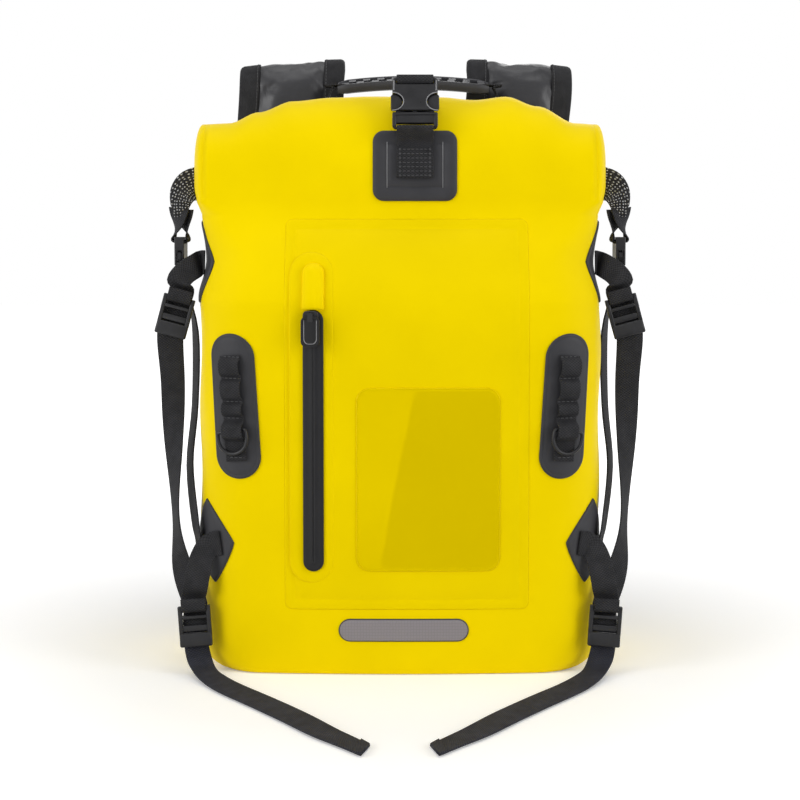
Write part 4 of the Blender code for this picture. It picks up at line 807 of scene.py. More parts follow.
def row_piece(name, lines, spacing, size, finish, body, slot):
    """Piece of small boxes along lines, each line a list of points and out vectors."""
    mesh = bpy.data.meshes.new(name)
    verts = []
    edges = []
    outs = []
    for line in lines:
        start = len(verts)
        verts += [tuple(point) for point, _ in line]
        outs += [out for _, out in line]
        edges += [(k, k + 1) for k in range(start, len(verts) - 1)]
    mesh.from_pydata(verts, edges, [])
    layer = mesh.attributes.new("out", "FLOAT_VECTOR", "POINT")
    for item, out in zip(layer.data, outs):
        item.vector = out
    guide = link_mesh(name + "_lines", mesh)
    tree = bpy.data.node_groups.get("repeat_along_lines") or row_tree()
    layout = guide.modifiers.new("row", "NODES")
    layout.node_group = tree
    values = {"Spacing": spacing, "Size": size, "Material": FINISHES[finish]}
    for socket in tree.interface.items_tree:
        if socket.name in values:
            layout[socket.identifier] = values[socket.name]
    made = evaluated_mesh(guide)
    made.name = name
    bpy.data.objects.remove(guide)
    bpy.data.meshes.remove(mesh)
    settle(link_mesh(name, made, smooth=False), body, slot)


# Pieces


class BACKPACK_OT_bag(bpy.types.Operator):
    """Welded bag with its rolled collar, as one skin"""

    bl_idname = "backpack.bag"
    bl_label = "Bag and roll"

    FRONT_STEPS = 40
    ARC_STEPS = 14
    FLANK_STEPS = 16
    BACK_STEPS = 40
    ROUND_STEPS = 12
    WALL_STEPS = 56
    NECK_STEPS = 26
    UNDER_STEPS = 6
    OVER_STEPS = 28
    FLOOR_SHARES = (0.0, 0.3, 0.6, 0.85, 0.96)
    FLOOR_DISH = 0.0015
    COLLAR_LOW = 0.3675
    COLLAR_HIGH = 0.3765
    CREASE_DEPTH = 0.045
    END_POWER = 0.8
    END_LEAST = 0.35
    END_PINCH = 0.80

    def bag_row(self, z):
        """Ring of the bag at a height, as points from the front middle line round both ways."""
        section = bag_section(z)
        stops = [0.0]
        counts = (self.FRONT_STEPS, self.ARC_STEPS, self.FLANK_STEPS, self.ARC_STEPS, self.BACK_STEPS)
        for length, count in zip(section_lengths(section), counts):
            stops += spread(stops[-1], stops[-1] + length, count)[1:]
        right = [skin(s, z) for s in stops]
        left = [skin(-s, z) for s in stops[1:-1]]
        return right + left[::-1]

    def roll_row(self, depth, height, crease=1.0):
        """Ring of the roll: depth is a share of its half depth, height gives Z at a place along X."""
        reach = ROLL_HALF_DEPTH * depth
        bulge = (ROLL_HALF_LENGTH - ROLL_FACE_END) * (self.END_LEAST + (1 - self.END_LEAST) * depth)
        bulge *= self.END_PINCH + (1 - self.END_PINCH) * crease
        inside = 1 - self.CREASE_DEPTH * crease
        half = [(x, -reach) for x in spread(0.0, ROLL_FACE_END, self.FRONT_STEPS)]
        caps = 2 * self.ARC_STEPS + self.FLANK_STEPS
        for turn in spread(0.0, math.pi, caps - 1):
            half.append((ROLL_FACE_END + bulge * math.sin(turn) ** self.END_POWER, -reach * inside * math.cos(turn)))
        half += [(x, reach) for x in spread(ROLL_FACE_END, 0.0, self.BACK_STEPS)[1:]]
        right = [Vector((x, ROLL_Y + y, height(x))) for x, y in half]
        left = [Vector((-x, ROLL_Y + y, height(-x))) for x, y in half[1:-1]]
        return right + left[::-1]

    def execute(self, context):
        levels = [BASE_ROUND * (1 - math.cos(angle)) for angle in spread(0.0, math.pi / 2, self.ROUND_STEPS)]
        for low, high, count in ((BASE_ROUND, STRAIGHT_TOP, self.WALL_STEPS),
                                 (STRAIGHT_TOP, MOUTH_HEIGHT, self.NECK_STEPS)):
            levels += spread(low, high, count)[1:]
        floor = self.bag_row(0.0)
        middle = Vector((0.0, (BAG_BACK - BAG_FRONT) / 2, self.FLOOR_DISH))
        rows = [[middle.lerp(point, share) for point in floor] for share in self.FLOOR_SHARES]
        rows += [self.bag_row(z) for z in levels]
        for k in range(self.UNDER_STEPS + 1):
            share = ROLL_START_SHARE * (1 - k / self.UNDER_STEPS)
            depth = (1 - share ** ROLL_LOWER_POWER) ** (1 / ROLL_LOWER_POWER)
            rows.append(self.roll_row(depth, lambda x, s=share: ROLL_WAIST - s * ROLL_LOWER_RISE, ease(k / 3)))
        for angle in spread(0.0, math.pi / 2, self.OVER_STEPS)[1:]:
            depth = max(math.cos(angle), 0.0) ** (2 / ROLL_UPPER_POWER)
            rise = math.sin(angle) ** (2 / ROLL_UPPER_POWER)
            rows.append(self.roll_row(depth, lambda x, r=rise: ROLL_WAIST + r * (along(ROLL_TOP, x) - ROLL_WAIST)))
        piece = finish_mesh("bag_fabric", loft(rows, capped=False), FINISHES["tarpaulin"])
        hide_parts("bag_shell", "roll_top")
        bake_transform(piece)
        return {"FINISHED"}


class BACKPACK_OT_pocket(bpy.types.Operator):
    """Front pocket with its weld band, zip, hood, clear window and the reflective strip"""

    bl_idname = "backpack.pocket"
    bl_label = "Front pocket"

    # Profiles from the rim inwards: inset and height over the bag in millimetres
    PANEL = ((0.0, 0.1), (0.5, 0.40), (1.3, 0.55), (4.0, 0.55), (7.2, 0.55), (7.8, 0.35), (8.4, 0.35), (9.2, 0.60),
             (12.0, 0.95), (16.0, 1.35), (22.0, 1.6), (28.0, 1.6), (40.0, 1.6), (54.0, 1.6), (70.0, 1.6),
             (86.0, 1.6), (98.9, 1.6))
    ZIP_BAND = ((0.0, 1.55), (1.0, 1.8), (2.5, 2.0), (6.0, 2.05), (7.5, 1.95), (9.0, 1.9), (12.0, 1.9),
                (17.8, 1.9))
    TAPE = ((0.0, 1.9), (0.2, 3.3), (0.7, 3.6), (3.0, 3.5), (5.6, 3.55), (6.9, 4.0), (7.6, 4.0), (7.95, 3.2),
            (8.35, 3.2))
    TAPE_SHIFT = 0.0016
    TAPE_HALF_WIDTH = 0.0084
    WINDOW = ((0.0, 1.6), (0.3, 2.4), (0.8, 2.55), (1.3, 2.4), (1.7, 2.4), (2.1, 2.55), (3.0, 2.55),
              (7.0, 2.55), (12.0, 2.55), (20.0, 2.55), (32.0, 2.55), (45.0, 2.55), (58.7, 2.55))
    STRIP_EDGE = ((0.0, 0.2), (0.2, 0.7), (0.8, 0.8), (2.0, 0.8), (8.9, 0.8))
    STRIP = ((0.0, 0.8), (0.2, 1.2), (0.6, 1.3), (3.0, 1.3), (8.4, 1.3))
    BAND_MARGIN = 0.0095
    EDGE_MARGIN = 0.0009
    HOOD_SEAT = 0.0019
    HOOD_POWER = 0.7
    VALLEY = (0.10, 0.004)
    STRAIGHT_STEPS = 12
    END_STEPS = 10
    ARCH_STEPS = 24

    def sheet(self, name, profile, centre, half, radius, finish, slot, *nodes, fine=12):
        bm = patch_mesh(skin, centre, lambda inset: rounded_loop(half, radius, inset, edge_steps=fine), profile)
        make_piece(name, bm, finish, "bag", slot, *nodes)

    def hood(self):
        """Half tube that covers the top end of the zip, closed by a round end, with a faint valley."""
        rings = []
        straight = HOOD_HEIGHT - ZIP_HALF_WIDTH
        levels = spread(0.0, straight, self.STRAIGHT_STEPS)
        levels += [straight + ZIP_HALF_WIDTH * math.sin(angle)
                   for angle in spread(0.0, math.pi / 2, self.END_STEPS)[1:]]
        for level in levels:
            over = max(level - straight, 0.0)
            half = max(math.sqrt(max(ZIP_HALF_WIDTH ** 2 - over ** 2, 0.0)), 0.0002)
            ring = []
            for angle in spread(0.0, math.pi, self.ARCH_STEPS):
                u = half * math.cos(angle)
                valley = 1 - self.VALLEY[0] * bump(u / self.VALLEY[1])
                height = HOOD_RISE * half / ZIP_HALF_WIDTH * math.sin(angle) ** self.HOOD_POWER * valley
                ring.append(lifted(skin, ZIP_X + self.TAPE_SHIFT + u, ZIP_HIGH + SEAT + level,
                                   self.HOOD_SEAT + height))
            rings.append(ring)
        make_piece("zip_hood", loft(rings), "tarpaulin", "bag", "tarpaulin", "zip_garage")

    def execute(self, context):
        middle = (PANEL_X, (PANEL_HIGH + PANEL_LOW) / 2)
        half = (PANEL_HALF_WIDTH, (PANEL_HIGH - PANEL_LOW) / 2)
        self.sheet("pocket_panel", self.PANEL, middle, half, PANEL_CORNER, "pocket", "tarpaulin",
                   "front_pocket_panel", fine=48)

        zip_middle = (ZIP_X + self.TAPE_SHIFT, (ZIP_HIGH + ZIP_LOW) / 2)
        zip_half = (self.TAPE_HALF_WIDTH, (ZIP_HIGH - ZIP_LOW) / 2)
        top = ZIP_HIGH + HOOD_HEIGHT + self.BAND_MARGIN
        low = ZIP_LOW - self.BAND_MARGIN
        wide = self.TAPE_HALF_WIDTH + self.BAND_MARGIN
        self.sheet("zip_weld_band", self.ZIP_BAND, (ZIP_X, (top + low) / 2), (wide, (top - low) / 2), wide,
                   "pocket", "tarpaulin", fine=40)
        self.sheet("zip_tape_strip", self.TAPE, zip_middle, zip_half, self.TAPE_HALF_WIDTH, "zip_tape",
                   "black_rubber", "zip_tape", fine=40)

        self.hood()
        self.sheet("window_film", self.WINDOW, (WINDOW_X, WINDOW_Z), WINDOW_HALF, WINDOW_CORNER, "film",
                   "clear_film", "clear_window", fine=24)
        edge = (STRIP_HALF[0] + self.EDGE_MARGIN, STRIP_HALF[1] + self.EDGE_MARGIN)
        self.sheet("strip_edge", self.STRIP_EDGE, (STRIP_X, STRIP_Z), edge, edge[1], "rubber", "black_rubber", fine=24)
        self.sheet("strip_tape", self.STRIP, (STRIP_X, STRIP_Z), STRIP_HALF, STRIP_HALF[1], "reflective", "reflective",
                   "reflective_strip", fine=24)
        return {"FINISHED"}


class BACKPACK_OT_patches(bpy.types.Operator):
    """Rubber patches welded to the bag and to the roll"""

    bl_idname = "backpack.patches"
    bl_label = "Rubber patches"

    RIM = ((0.0, 0.2), (0.25, 1.2), (0.9, 1.75), (2.4, 1.8), (2.9, 1.55), (3.4, 1.8), (6.0, 1.8), (11.0, 1.8),
           (16.0, 1.8), (19.9, 1.8))
    DIAMOND = ((0.0, 0.2), (0.25, 1.2), (0.9, 1.75), (2.6, 1.8), (6.0, 1.8), (12.0, 1.8), (18.0, 1.8), (22.9, 1.8))
    TOP = ((0.0, 0.2), (0.25, 1.2), (0.9, 1.75), (4.0, 1.8), (10.6, 1.8), (11.0, 1.35), (11.5, 1.35), (11.9, 1.75),
           (16.0, 1.75), (22.0, 1.75), (28.6, 1.75))

    LINE_X = 0.0228
    LINE_LOW = -0.0172
    LINE_HIGH = 0.0185
    LINE_STEPS = 12
    RIDGE = (0.0012, 0.0006, 0.0006)
    RIDGE_SPACING = 0.001

    def patch(self, name, node, body, surface, centre, outline, profile, lean=0.0):
        bm = patch_mesh(surface, centre, outline, profile, lean=lean)
        make_piece(name, bm, "rubber", body, "black_rubber", node)

    def execute(self, context):
        for side, word in SIDES:
            self.patch("side_rubber_" + word, "side_patch_" + word, "bag", skin, (side * SEEN_PATCH_S, SEEN_PATCH_Z),
                       lambda inset: rounded_loop(SEEN_PATCH_HALF, SEEN_PATCH_HALF[0], inset, 12, 16), self.RIM,
                       side * SEEN_PATCH_LEAN)
            for key, (s, z), lean in (("upper", UPPER_PATCH, 0.0), ("lower", LOWER_PATCH, side * SIDE_PATCH_LEAN)):
                self.patch(key + "_rubber_" + word, key + "_patch_" + word, "bag", skin, (side * s, z),
                           lambda inset: diamond_loop(DIAMOND_HALF, inset), self.DIAMOND, lean)
        self.patch("top_rubber", "top_patch", "roll", roll_face, (TOP_PATCH_X, TOP_PATCH_Z),
                   lambda inset: rounded_loop(TOP_PATCH_HALF, TOP_PATCH_CORNER, inset, 8, 14), self.TOP)
        # Two lines of small pale ridges on the top patch, in the pale edge plastic: painted highlights along two lines
        # of the patch
        spots = [TOP_PATCH_Z + rise for rise in spread(self.LINE_LOW, self.LINE_HIGH, self.LINE_STEPS)]
        lines = [[(lifted(roll_face, x, z, PATCH_THICKNESS), FORWARD) for z in spots]
                 for x in (TOP_PATCH_X - self.LINE_X, TOP_PATCH_X + self.LINE_X)]
        row_piece("top_rubber_ridge_highlights", lines, self.RIDGE_SPACING, self.RIDGE, "edge", "roll", "black_rubber")
        return {"FINISHED"}


# Webbing


def axes(origin, across, up):
    """Frame with X across, Y up and Z out of the face."""
    across = Vector(across).normalized()
    up = Vector(up).normalized()
    turned = Matrix((across, up, across.cross(up))).transposed().to_4x4()
    turned.translation = Vector(origin)
    return turned


def mirrored(place, side):
    """Frame of the left side, or its mirror image on the right."""
    return place if side < 0 else Matrix.Scale(-1, 4, ACROSS) @ place


# Quarter of a strap's cross-section, as shares of its width and thickness
STRAP_RIM = ((0.5, 0.15), (0.488, 0.42), (0.46, 0.5), (0.16, 0.5))
STRAP_SECTION = [*STRAP_RIM, *[(-a, b) for a, b in STRAP_RIM[::-1]],
                 *[(-a, -b) for a, b in STRAP_RIM], *[(a, -b) for a, b in STRAP_RIM[::-1]]]


def strap_mesh(points, across, width, thickness, steps=5, slant=0.0, shares=None, bm=None, drawn=False):
    """Webbing along a smooth curve, with its UV in metres; slant cuts its end at an angle."""
    curve = blend_points(points, steps)
    wides = blend_points(across, steps)
    shares = blend_points([(share, 0.0) for share in shares or [1.0] * len(points)], steps)
    last = len(curve) - 1
    reach = sum((b - a).length for a, b in zip(curve, curve[1:]))
    rings = []
    uvs = []
    travelled = 0.0
    for i, point in enumerate(curve):
        run = (curve[min(i + 1, last)] - curve[max(i - 1, 0)]).normalized()
        wide = (wides[i] - run * wides[i].dot(run)).normalized()
        out = run.cross(wide)
        if i:
            travelled += (point - curve[i - 1]).length
        pull = slant * (1.0 if drawn else ease(1 - (reach - travelled) / (2 * width)))
        spots = [(a, a * width * shares[i].x, b * thickness) for a, b in STRAP_SECTION]
        rings.append([point + wide * u + out * v - run * (pull * a) for a, u, v in spots])
        uvs.append([(u, travelled) for _, u, _ in spots])
    return loft(rings, bm, uvs)


class BuckleSize:
    """Sizes of a side release buckle for one webbing width; its halves part at local y = 0."""

    MARGIN = 0.0035
    SKIN = 0.0014
    BAR = 0.0022
    SLOT = 0.0034
    SLIT = 0.0014

    def __init__(self, webbing, thickness, female, male):
        self.thickness = thickness
        self.female = female
        self.male = male
        self.half = webbing / 2 + self.MARGIN
        self.core = thickness - 2 * self.SKIN
        self.female_slot = female - self.BAR - self.SLOT / 2

    def thread_female(self, place, turn):
        """Webbing points round the female bar: turn 1 goes in at the face, -1 at the back."""
        return self.thread(place, self.female + WEBBING_THICKNESS, self.female_slot, self.thickness, turn)

    def thread_male(self, place, turn):
        """Webbing points round the male bar: turn 1 goes in at the face, -1 at the back."""
        return self.thread(place, -self.male - WEBBING_THICKNESS, self.SLIT - self.male, self.core, turn)

    def thread(self, place, end, slot, thickness, turn):
        out = (thickness / 2 + WEBBING_THICKNESS) * turn
        return [place @ Vector((0.0, y, z)) for y, z in ((end, out), (slot, out), (slot, -out), (end, -out))]


TOP_BUCKLE = BuckleSize(TOP_WEBBING_WIDTH, 0.009, 0.0287, 0.014)
SIDE_BUCKLE = BuckleSize(WEBBING_WIDTH, 0.008, 0.024, 0.012)


def top_buckle_frame():
    """Frame of the top buckle, leaning back over the front of the roll."""
    z = ROLL_BOTTOM + TOP_BUCKLE_RISE
    front = roll_face(TOP_PATCH_X, z - TOP_BUCKLE.male)
    up = Vector((0.0, math.sin(TOP_BUCKLE_TILT), math.cos(TOP_BUCKLE_TILT)))
    return axes((TOP_PATCH_X, front.y - TOP_BUCKLE_FORWARD, z), ACROSS, up)


def side_buckle_frame():
    """Frame of the left side buckle, its face turned away from the bag."""
    return axes((-SIDE_BUCKLE_X, ROLL_Y, SIDE_BUCKLE_Z), FORWARD, UP)


def lock_frame(centre, lean):
    """Frame of a left ladder lock facing the front; lean tips its top towards the bag."""
    return axes(centre, (math.cos(lean), 0, -math.sin(lean)), (math.sin(lean), 0, math.cos(lean)))


def shoulder_lock_frame():
    """Frame of the left shoulder lock, hung under the end of its pad."""
    end_y, end_z = SHOULDER_ROUTE[-1][:2]
    up = Vector((0.0, SHOULDER_LOCK_TILT, 1.0)).normalized()
    top = Vector((-shoulder_x(1.0), end_y, end_z - SHOULDER_LOCK_GAP))
    return axes(top - up * (LOCK_HEIGHT / 2), -ACROSS, up)


def hook_points(place):
    """Webbing round a lock's bar, from behind it, through the first slot and up its face."""
    round_bar = [(math.sin(angle), math.cos(angle)) for angle in spread(math.pi, 2 * math.pi, 6)]
    return [place @ Vector((0.0, LOCK_AXIS + HOOK_RADIUS * y, HOOK_RADIUS * z))
            for y, z in ((2.0, -1.0), *round_bar, (2.0, 1.0))]


def roll_over(y, lift):
    """Point over the top of the roll at the top strap, at a depth."""
    share = min(abs(y - ROLL_Y) / ROLL_HALF_DEPTH, NEARLY_ALL)
    rise = along(ROLL_TOP, TOP_PATCH_X) - ROLL_WAIST
    height = ROLL_WAIST + rise * (1 - share ** ROLL_UPPER_POWER) ** (1 / ROLL_UPPER_POWER)
    slope = Vector((0.0, (y - ROLL_Y) / ROLL_HALF_DEPTH ** 2, (height - ROLL_WAIST) / rise ** 2))
    return Vector((TOP_PATCH_X, y, height)) + slope.normalized() * lift


def shoulder_x(share):
    """Distance of a shoulder pad's middle from the bag's middle, spreading a little downwards."""
    return SHOULDER_X + SHOULDER_SPREAD * share


def tail_points(side):
    """Route of a tail and its width directions."""
    points = [flip(point, side) for point in TAIL_ROUTE]
    across = []
    for i in range(len(points)):
        run = points[min(i + 1, len(points) - 1)] - points[max(i - 1, 0)]
        rear = UP.cross(run).normalized() * -side
        hung = Vector((-side, 0.0, 0.0))
        share = ease((i - 2) / 4)
        lean = TAIL_LEAN * ease((i - 4) / 3) * ease((len(points) - 1 - i) / 5)
        across.append(hung * (1 - share) + (rear + UP * lean) * share)
        forward = TAIL_SWAY * ease((i - 3) / 5) + TAIL_BOW * bump((i - 11) / 7)
        points[i] = points[i] + Vector((0.0, -forward, lean * WEBBING_WIDTH / 2))
    return points, across


class BACKPACK_OT_tails(bpy.types.Operator):
    """Free webbing tails that lie on the floor in front"""

    bl_idname = "backpack.tails"
    bl_label = "Strap tails"

    SLANT = 0.017
    HEM_RISE = 0.0010
    HEM_WIDTH = 0.97
    HEM = (0.2, 0.6, 1.0)

    def execute(self, context):
        sizes = context.scene.backpack_sizes
        for side, word in SIDES:
            points, across = tail_points(side)
            bm = strap_mesh(points, across, sizes.webbing_width, sizes.webbing_thickness, slant=self.SLANT)
            fold = [points[-2].lerp(points[-1], share) + UP * self.HEM_RISE for share in self.HEM]
            strap_mesh(fold, across[-3:], sizes.webbing_width * self.HEM_WIDTH, sizes.webbing_thickness,
                       slant=self.SLANT, bm=bm, drawn=True)
            piece = make_piece("tail_webbing_" + word, bm, "tail", "bag", "black_webbing", "strap_tail_" + word)
        return {"FINISHED"}


class BACKPACK_OT_straps(bpy.types.Operator):
    """All sewn webbing: side straps, anchors, roll tabs, top strap, daisy chains and shoulder webbing"""

    bl_idname = "backpack.straps"
    bl_label = "Straps"

    SEWN_LIFT = ON_PATCH + WEBBING_THICKNESS / 2
    TOP_RISES = (-0.010, 0.000, 0.010, 0.018)
    STRAP_REACH = 0.0335
    OVER_SHARE = 1.25
    OVER_STEPS = 14
    # Left roll tab: place out from the bag's side, forward from the roll's middle line, height, width share
    # and width direction
    TAB = ((-0.0025, 0.004, 0.3985, 1.60, (0.0, 0.0, 1.0)), (0.0060, 0.006, 0.3970, 1.40, (-0.30, 0.0, 0.95)),
           (0.0120, 0.007, 0.3910, 1.15, (-0.66, 0.0, 0.75)), (0.0145, 0.006, 0.3820, 0.85, (-0.92, 0.0, 0.38)),
           (0.0142, 0.005, 0.3722, 0.55, (-1.0, 0.0, 0.0)))
    LOOP = ((0.0160, 0.0035, 0.3790), (0.0172, 0.0025, 0.3680))
    LOOP_END = ((0.0120, 0.0005, 0.3675), (0.0125, 0.0020, 0.3780))
    LOOP_TURN = ((-0.90, 0.43, 0.0), (-0.60, 0.80, 0.0))
    # Left anchors: the sewn end lies on the bag (distance round, height, lift), then the webbing turns down
    UPPER_SEWN = ((0.1705, 0.3340, 0.0006), (0.1790, 0.3335, 0.0030))
    UPPER_TURN = ((-0.1695, -0.0445, 0.3310), (-0.1775, -0.0470, 0.3255), (-0.1825, -0.0490, 0.3185))
    UPPER_WIDE = ((0.0, 0.10, 1.0), (-0.15, 0.15, 0.97), (-0.40, 0.0, 0.90), (-0.72, 0.0, 0.68), (-0.92, 0.0, 0.38))
    LOWER_SEWN = ((0.1455, 0.1065, 0.0), (0.1545, 0.1040, 0.0012))
    LOWER_TURN = ((-0.1612, -0.0780, 0.0950), (-0.1640, -0.0820, 0.0835), (-0.1662, -0.0835, 0.0715))
    LOWER_WIDE = ((-0.20, 0.11, 0.97), (-0.28, 0.25, 0.92), (-0.80, 0.25, 0.50), (-0.95, 0.10, 0.28),
                  (-1.0, 0.0, 0.05))
    ANCHOR_SHIFT = 0.006
    CLOSURE_FOOT = ((-0.016, 0.0), (-0.004, 0.0), (0.012, 0.003))
    CLOSURE_HANG = ((0.75, 0.0030, -0.002), (0.482, 0.0030, -0.008), (0.259, 0.0070, -0.014))
    COMPRESSION_HANG = ((0.778, 0.0195, 0.0103), (0.579, 0.0190, 0.0157), (0.341, 0.0170, 0.0191),
                        (0.183, 0.0115, 0.0156))
    # Webbing behind the upper lock: height on the lock and how far it stands off
    LOCK_RUN = ((0.0135, 0.0020), (0.0070, 0.0018), (0.0, 0.0006), (-0.0170, 0.0))
    LOCK_RUN_WIDTH = 1.1
    # Webbing behind the lower lock: share of the lock's height and how far it stands off
    LOWER_RUN = ((0.5, 0.006), (0.12, 0.0), (-0.10, 0.0))
    COMPRESSION_EDGE = (0.38, -0.92, 0.0)
    CLOSURE_TILT = (0.35, -0.94, 0.0)
    # Heights where the daisy chain is tacked down, and how far it stands up between the tacks
    TACKS = (0.2590, 0.2417, 0.2229, 0.2095)
    CELL_RISE = 0.0046
    DAISY_STEPS = 96
    RING_LOOP_HALF = 0.0088
    RING_LOOP_GAP = 0.002
    RING_LOOP_FULL = 1.9
    TAB_REACH = 0.010
    SHOULDER_RUN = (0.25, -0.55)
    FOOT_RISE = (0.0, 0.001, 0.022)
    SLACK = (0.0, 0.002, 0.0)
    TACK_HALF = 0.0016

    def strap(self, name, points, across, body, *nodes, width=None, finish="webbing", steps=5, shares=None):
        sizes = bpy.context.scene.backpack_sizes
        bm = strap_mesh(points, across, width or sizes.webbing_width, sizes.webbing_thickness, steps, shares=shares)
        make_piece(name, bm, finish, body, "black_webbing", *nodes)

    def top_straps(self, width):
        place = top_buckle_frame()
        first = self.SEWN_LIFT
        second = first + WEBBING_THICKNESS + SEAT
        points = [lifted(roll_face, TOP_PATCH_X, TOP_PATCH_Z + rise, first) for rise in self.TOP_RISES]
        points += TOP_BUCKLE.thread_male(place, -1)
        points += [lifted(roll_face, TOP_PATCH_X, TOP_PATCH_Z + rise, second) for rise in self.TOP_RISES[::-1]]
        self.strap("patch_webbing", points, [ACROSS] * len(points), "roll", "top_webbing", width=width)

        rear = math.asin(self.STRAP_REACH / ROLL_HALF_DEPTH)
        turns = spread(rear, rear * (1 - self.OVER_SHARE), self.OVER_STEPS)
        lift = SEAT + WEBBING_THICKNESS / 2
        points = [roll_over(ROLL_Y + ROLL_HALF_DEPTH * math.sin(turn), lift) for turn in turns]
        points += TOP_BUCKLE.thread_female(place, -1)
        self.strap("closing_webbing", points, [ACROSS] * len(points), "closing_strap", "top_strap", width=width,
                   steps=3)

    def side_closure(self, side, word):
        place = mirrored(side_buckle_frame(), side)
        points = [flip((-BAG_HALF_WIDTH - row[0], ROLL_Y - row[1], row[2]), side) for row in self.TAB]
        across = [flip(row[4], side) for row in self.TAB]
        self.strap("roll_tab_" + word, points, across, "roll", "roll_end_tab_" + word, finish="dotted",
                   shares=[row[3] for row in self.TAB])
        ends = [[flip((-BAG_HALF_WIDTH - out, ROLL_Y - forward, z), side) for out, forward, z in run]
                for run in (self.LOOP, self.LOOP_END)]
        points = ends[0] + SIDE_BUCKLE.thread_female(place, 1) + ends[1]
        turned = [flip(way, side) for way in self.LOOP_TURN]
        self.strap("buckle_loop_" + word, points, [*turned, *[-FORWARD] * 4, *turned[::-1]], "roll")

        s, z = LOWER_PATCH
        foot_s = side * (s - self.ANCHOR_SHIFT + WEBBING_WIDTH + 3 * SEAT)
        foot = [lifted(skin, foot_s, z + rise, self.SEWN_LIFT + out) for rise, out in self.CLOSURE_FOOT]
        hang = []
        for share, out, bow in self.CLOSURE_HANG:
            height = z + (SIDE_BUCKLE_Z - z) * share
            hang.append(flip((-BAG_HALF_WIDTH - out, ROLL_Y + bow, height), side))
        points = SIDE_BUCKLE.thread_male(place, 1) + hang + foot[::-1]
        tilted = flip(self.CLOSURE_TILT, side)
        corner = skin_across(foot_s, z) * -side
        across = [FORWARD] * 4 + [tilted, tilted, (tilted + corner) / 2] + [corner] * 3
        self.strap("closure_webbing_" + word, points, across, "bag", "closure_strap_" + word)

    def anchor(self, key, word, place, side, sewn, turn, wide):
        points = [lifted(skin, side * s, z, self.SEWN_LIFT + lift) for s, z, lift in sewn]
        points += [flip(point, side) for point in turn]
        hook = hook_points(place)
        level = (place.to_3x3() @ -ACROSS).normalized()
        across = [flip(way, side) for way in wide] + [level] * len(hook)
        self.strap(key + "_anchor_webbing_" + word, points + hook, across, "bag", key + "_anchor_" + word)

    def compression(self, side, word, upper, lower):
        points = [upper @ Vector((0.0, y, BEHIND_LOCK - back)) for y, back in self.LOCK_RUN]
        for share, out, bow in self.COMPRESSION_HANG:
            spot = LOWER_LOCK.lerp(UPPER_LOCK, share)
            points.append(flip((-BAG_HALF_WIDTH - out, spot.y + bow, spot.z), side))
        points += [lower @ Vector((0.0, LOCK_HEIGHT * share, BEHIND_LOCK - back)) for share, back in self.LOWER_RUN]
        top = (upper.to_3x3() @ ACROSS).normalized()
        low = (lower.to_3x3() @ ACROSS).normalized()
        edge = flip(self.COMPRESSION_EDGE, side)
        across = [top] * (len(self.LOCK_RUN) + 1) + [(top + edge) / 2, edge, (edge + low) / 2, low, low, low]
        shares = [self.LOCK_RUN_WIDTH] * len(self.LOCK_RUN) + [1.0] * (len(points) - len(self.LOCK_RUN))
        self.strap("compression_webbing_" + word, points, across, "bag", "compression_strap_" + word, steps=8,
                   shares=shares)

    def daisy_height(self, z):
        """Height of the daisy chain over the patch: loops between tacks, and one over the ring's bar."""
        ring = ease(1 - abs(z - RING_BAR_Z) / self.RING_LOOP_HALF)
        height = (RING_LEVEL + RING_WIRE / 2 + self.RING_LOOP_GAP - ON_PATCH) * min(1.0, ring * self.RING_LOOP_FULL)
        for high, low in zip(self.TACKS, self.TACKS[1:]):
            middle = (high + low) / 2
            half = (high - low) / 2 - self.TACK_HALF
            height = max(height, self.CELL_RISE * math.sqrt(max(1 - ((z - middle) / half) ** 2, 0.0)))
        return self.SEWN_LIFT + height

    def daisy(self, side, word):
        points = []
        across = []
        for z in spread(DAISY_BOTTOM, DAISY_TOP, self.DAISY_STEPS):
            s = seen_patch_s(side, z)
            points.append(lifted(skin, s, z, self.daisy_height(z)))
            across.append(skin_across(s, z))
        self.strap("daisy_webbing_" + word, points, across, "bag", "daisy_chain_" + word, width=DAISY_WIDTH, steps=1)

    def shoulder(self, side, word):
        place = shoulder_lock_frame()
        foot = Vector((-SHOULDER_FOOT[0], BAG_BACK + SEAT + WEBBING_THICKNESS / 2, SHOULDER_FOOT[1]))
        first, second = (place @ Vector((0.0, LOCK_HEIGHT * share, BEHIND_LOCK)) for share in self.SHOULDER_RUN)
        near = foot + Vector(self.FOOT_RISE)
        lean = (near + second) / 2 + Vector(self.SLACK)
        points = [flip(point, side) for point in (first, second, lean, near, foot)]
        self.strap("shoulder_strap_" + word, points, [ACROSS] * 5, "bag", "shoulder_webbing_" + word, steps=8)
        hook = hook_points(place)
        ends = [point + (place.to_3x3() @ Vector((0.0, self.TAB_REACH, 0.0))) for point in (hook[0], hook[-1])]
        points = [flip(point, side) for point in (ends[0], *hook, ends[1])]
        self.strap("shoulder_tab_" + word, points, [ACROSS] * len(points), "bag")

    def execute(self, context):
        self.top_straps(context.scene.backpack_sizes.top_webbing_width)
        for side, word in SIDES:
            upper = mirrored(lock_frame(UPPER_LOCK, UPPER_LOCK_LEAN), side)
            lower = mirrored(lock_frame(LOWER_LOCK, LOWER_LOCK_LEAN), side)
            self.side_closure(side, word)
            self.anchor("upper", word, upper, side, self.UPPER_SEWN, self.UPPER_TURN, self.UPPER_WIDE)
            self.anchor("lower", word, lower, side, self.LOWER_SEWN, self.LOWER_TURN, self.LOWER_WIDE)
            self.compression(side, word, upper, lower)
            self.daisy(side, word)
            self.shoulder(side, word)
        return {"FINISHED"}


# Padded pieces


CLOTH = {"quality": 5, "mass": 0.2, "tension_stiffness": 12, "compression_stiffness": 12, "bending_stiffness": 0.4,
         "vertex_group_mass": "sewn", "use_pressure": True}
CLOTH_FRAMES = 20


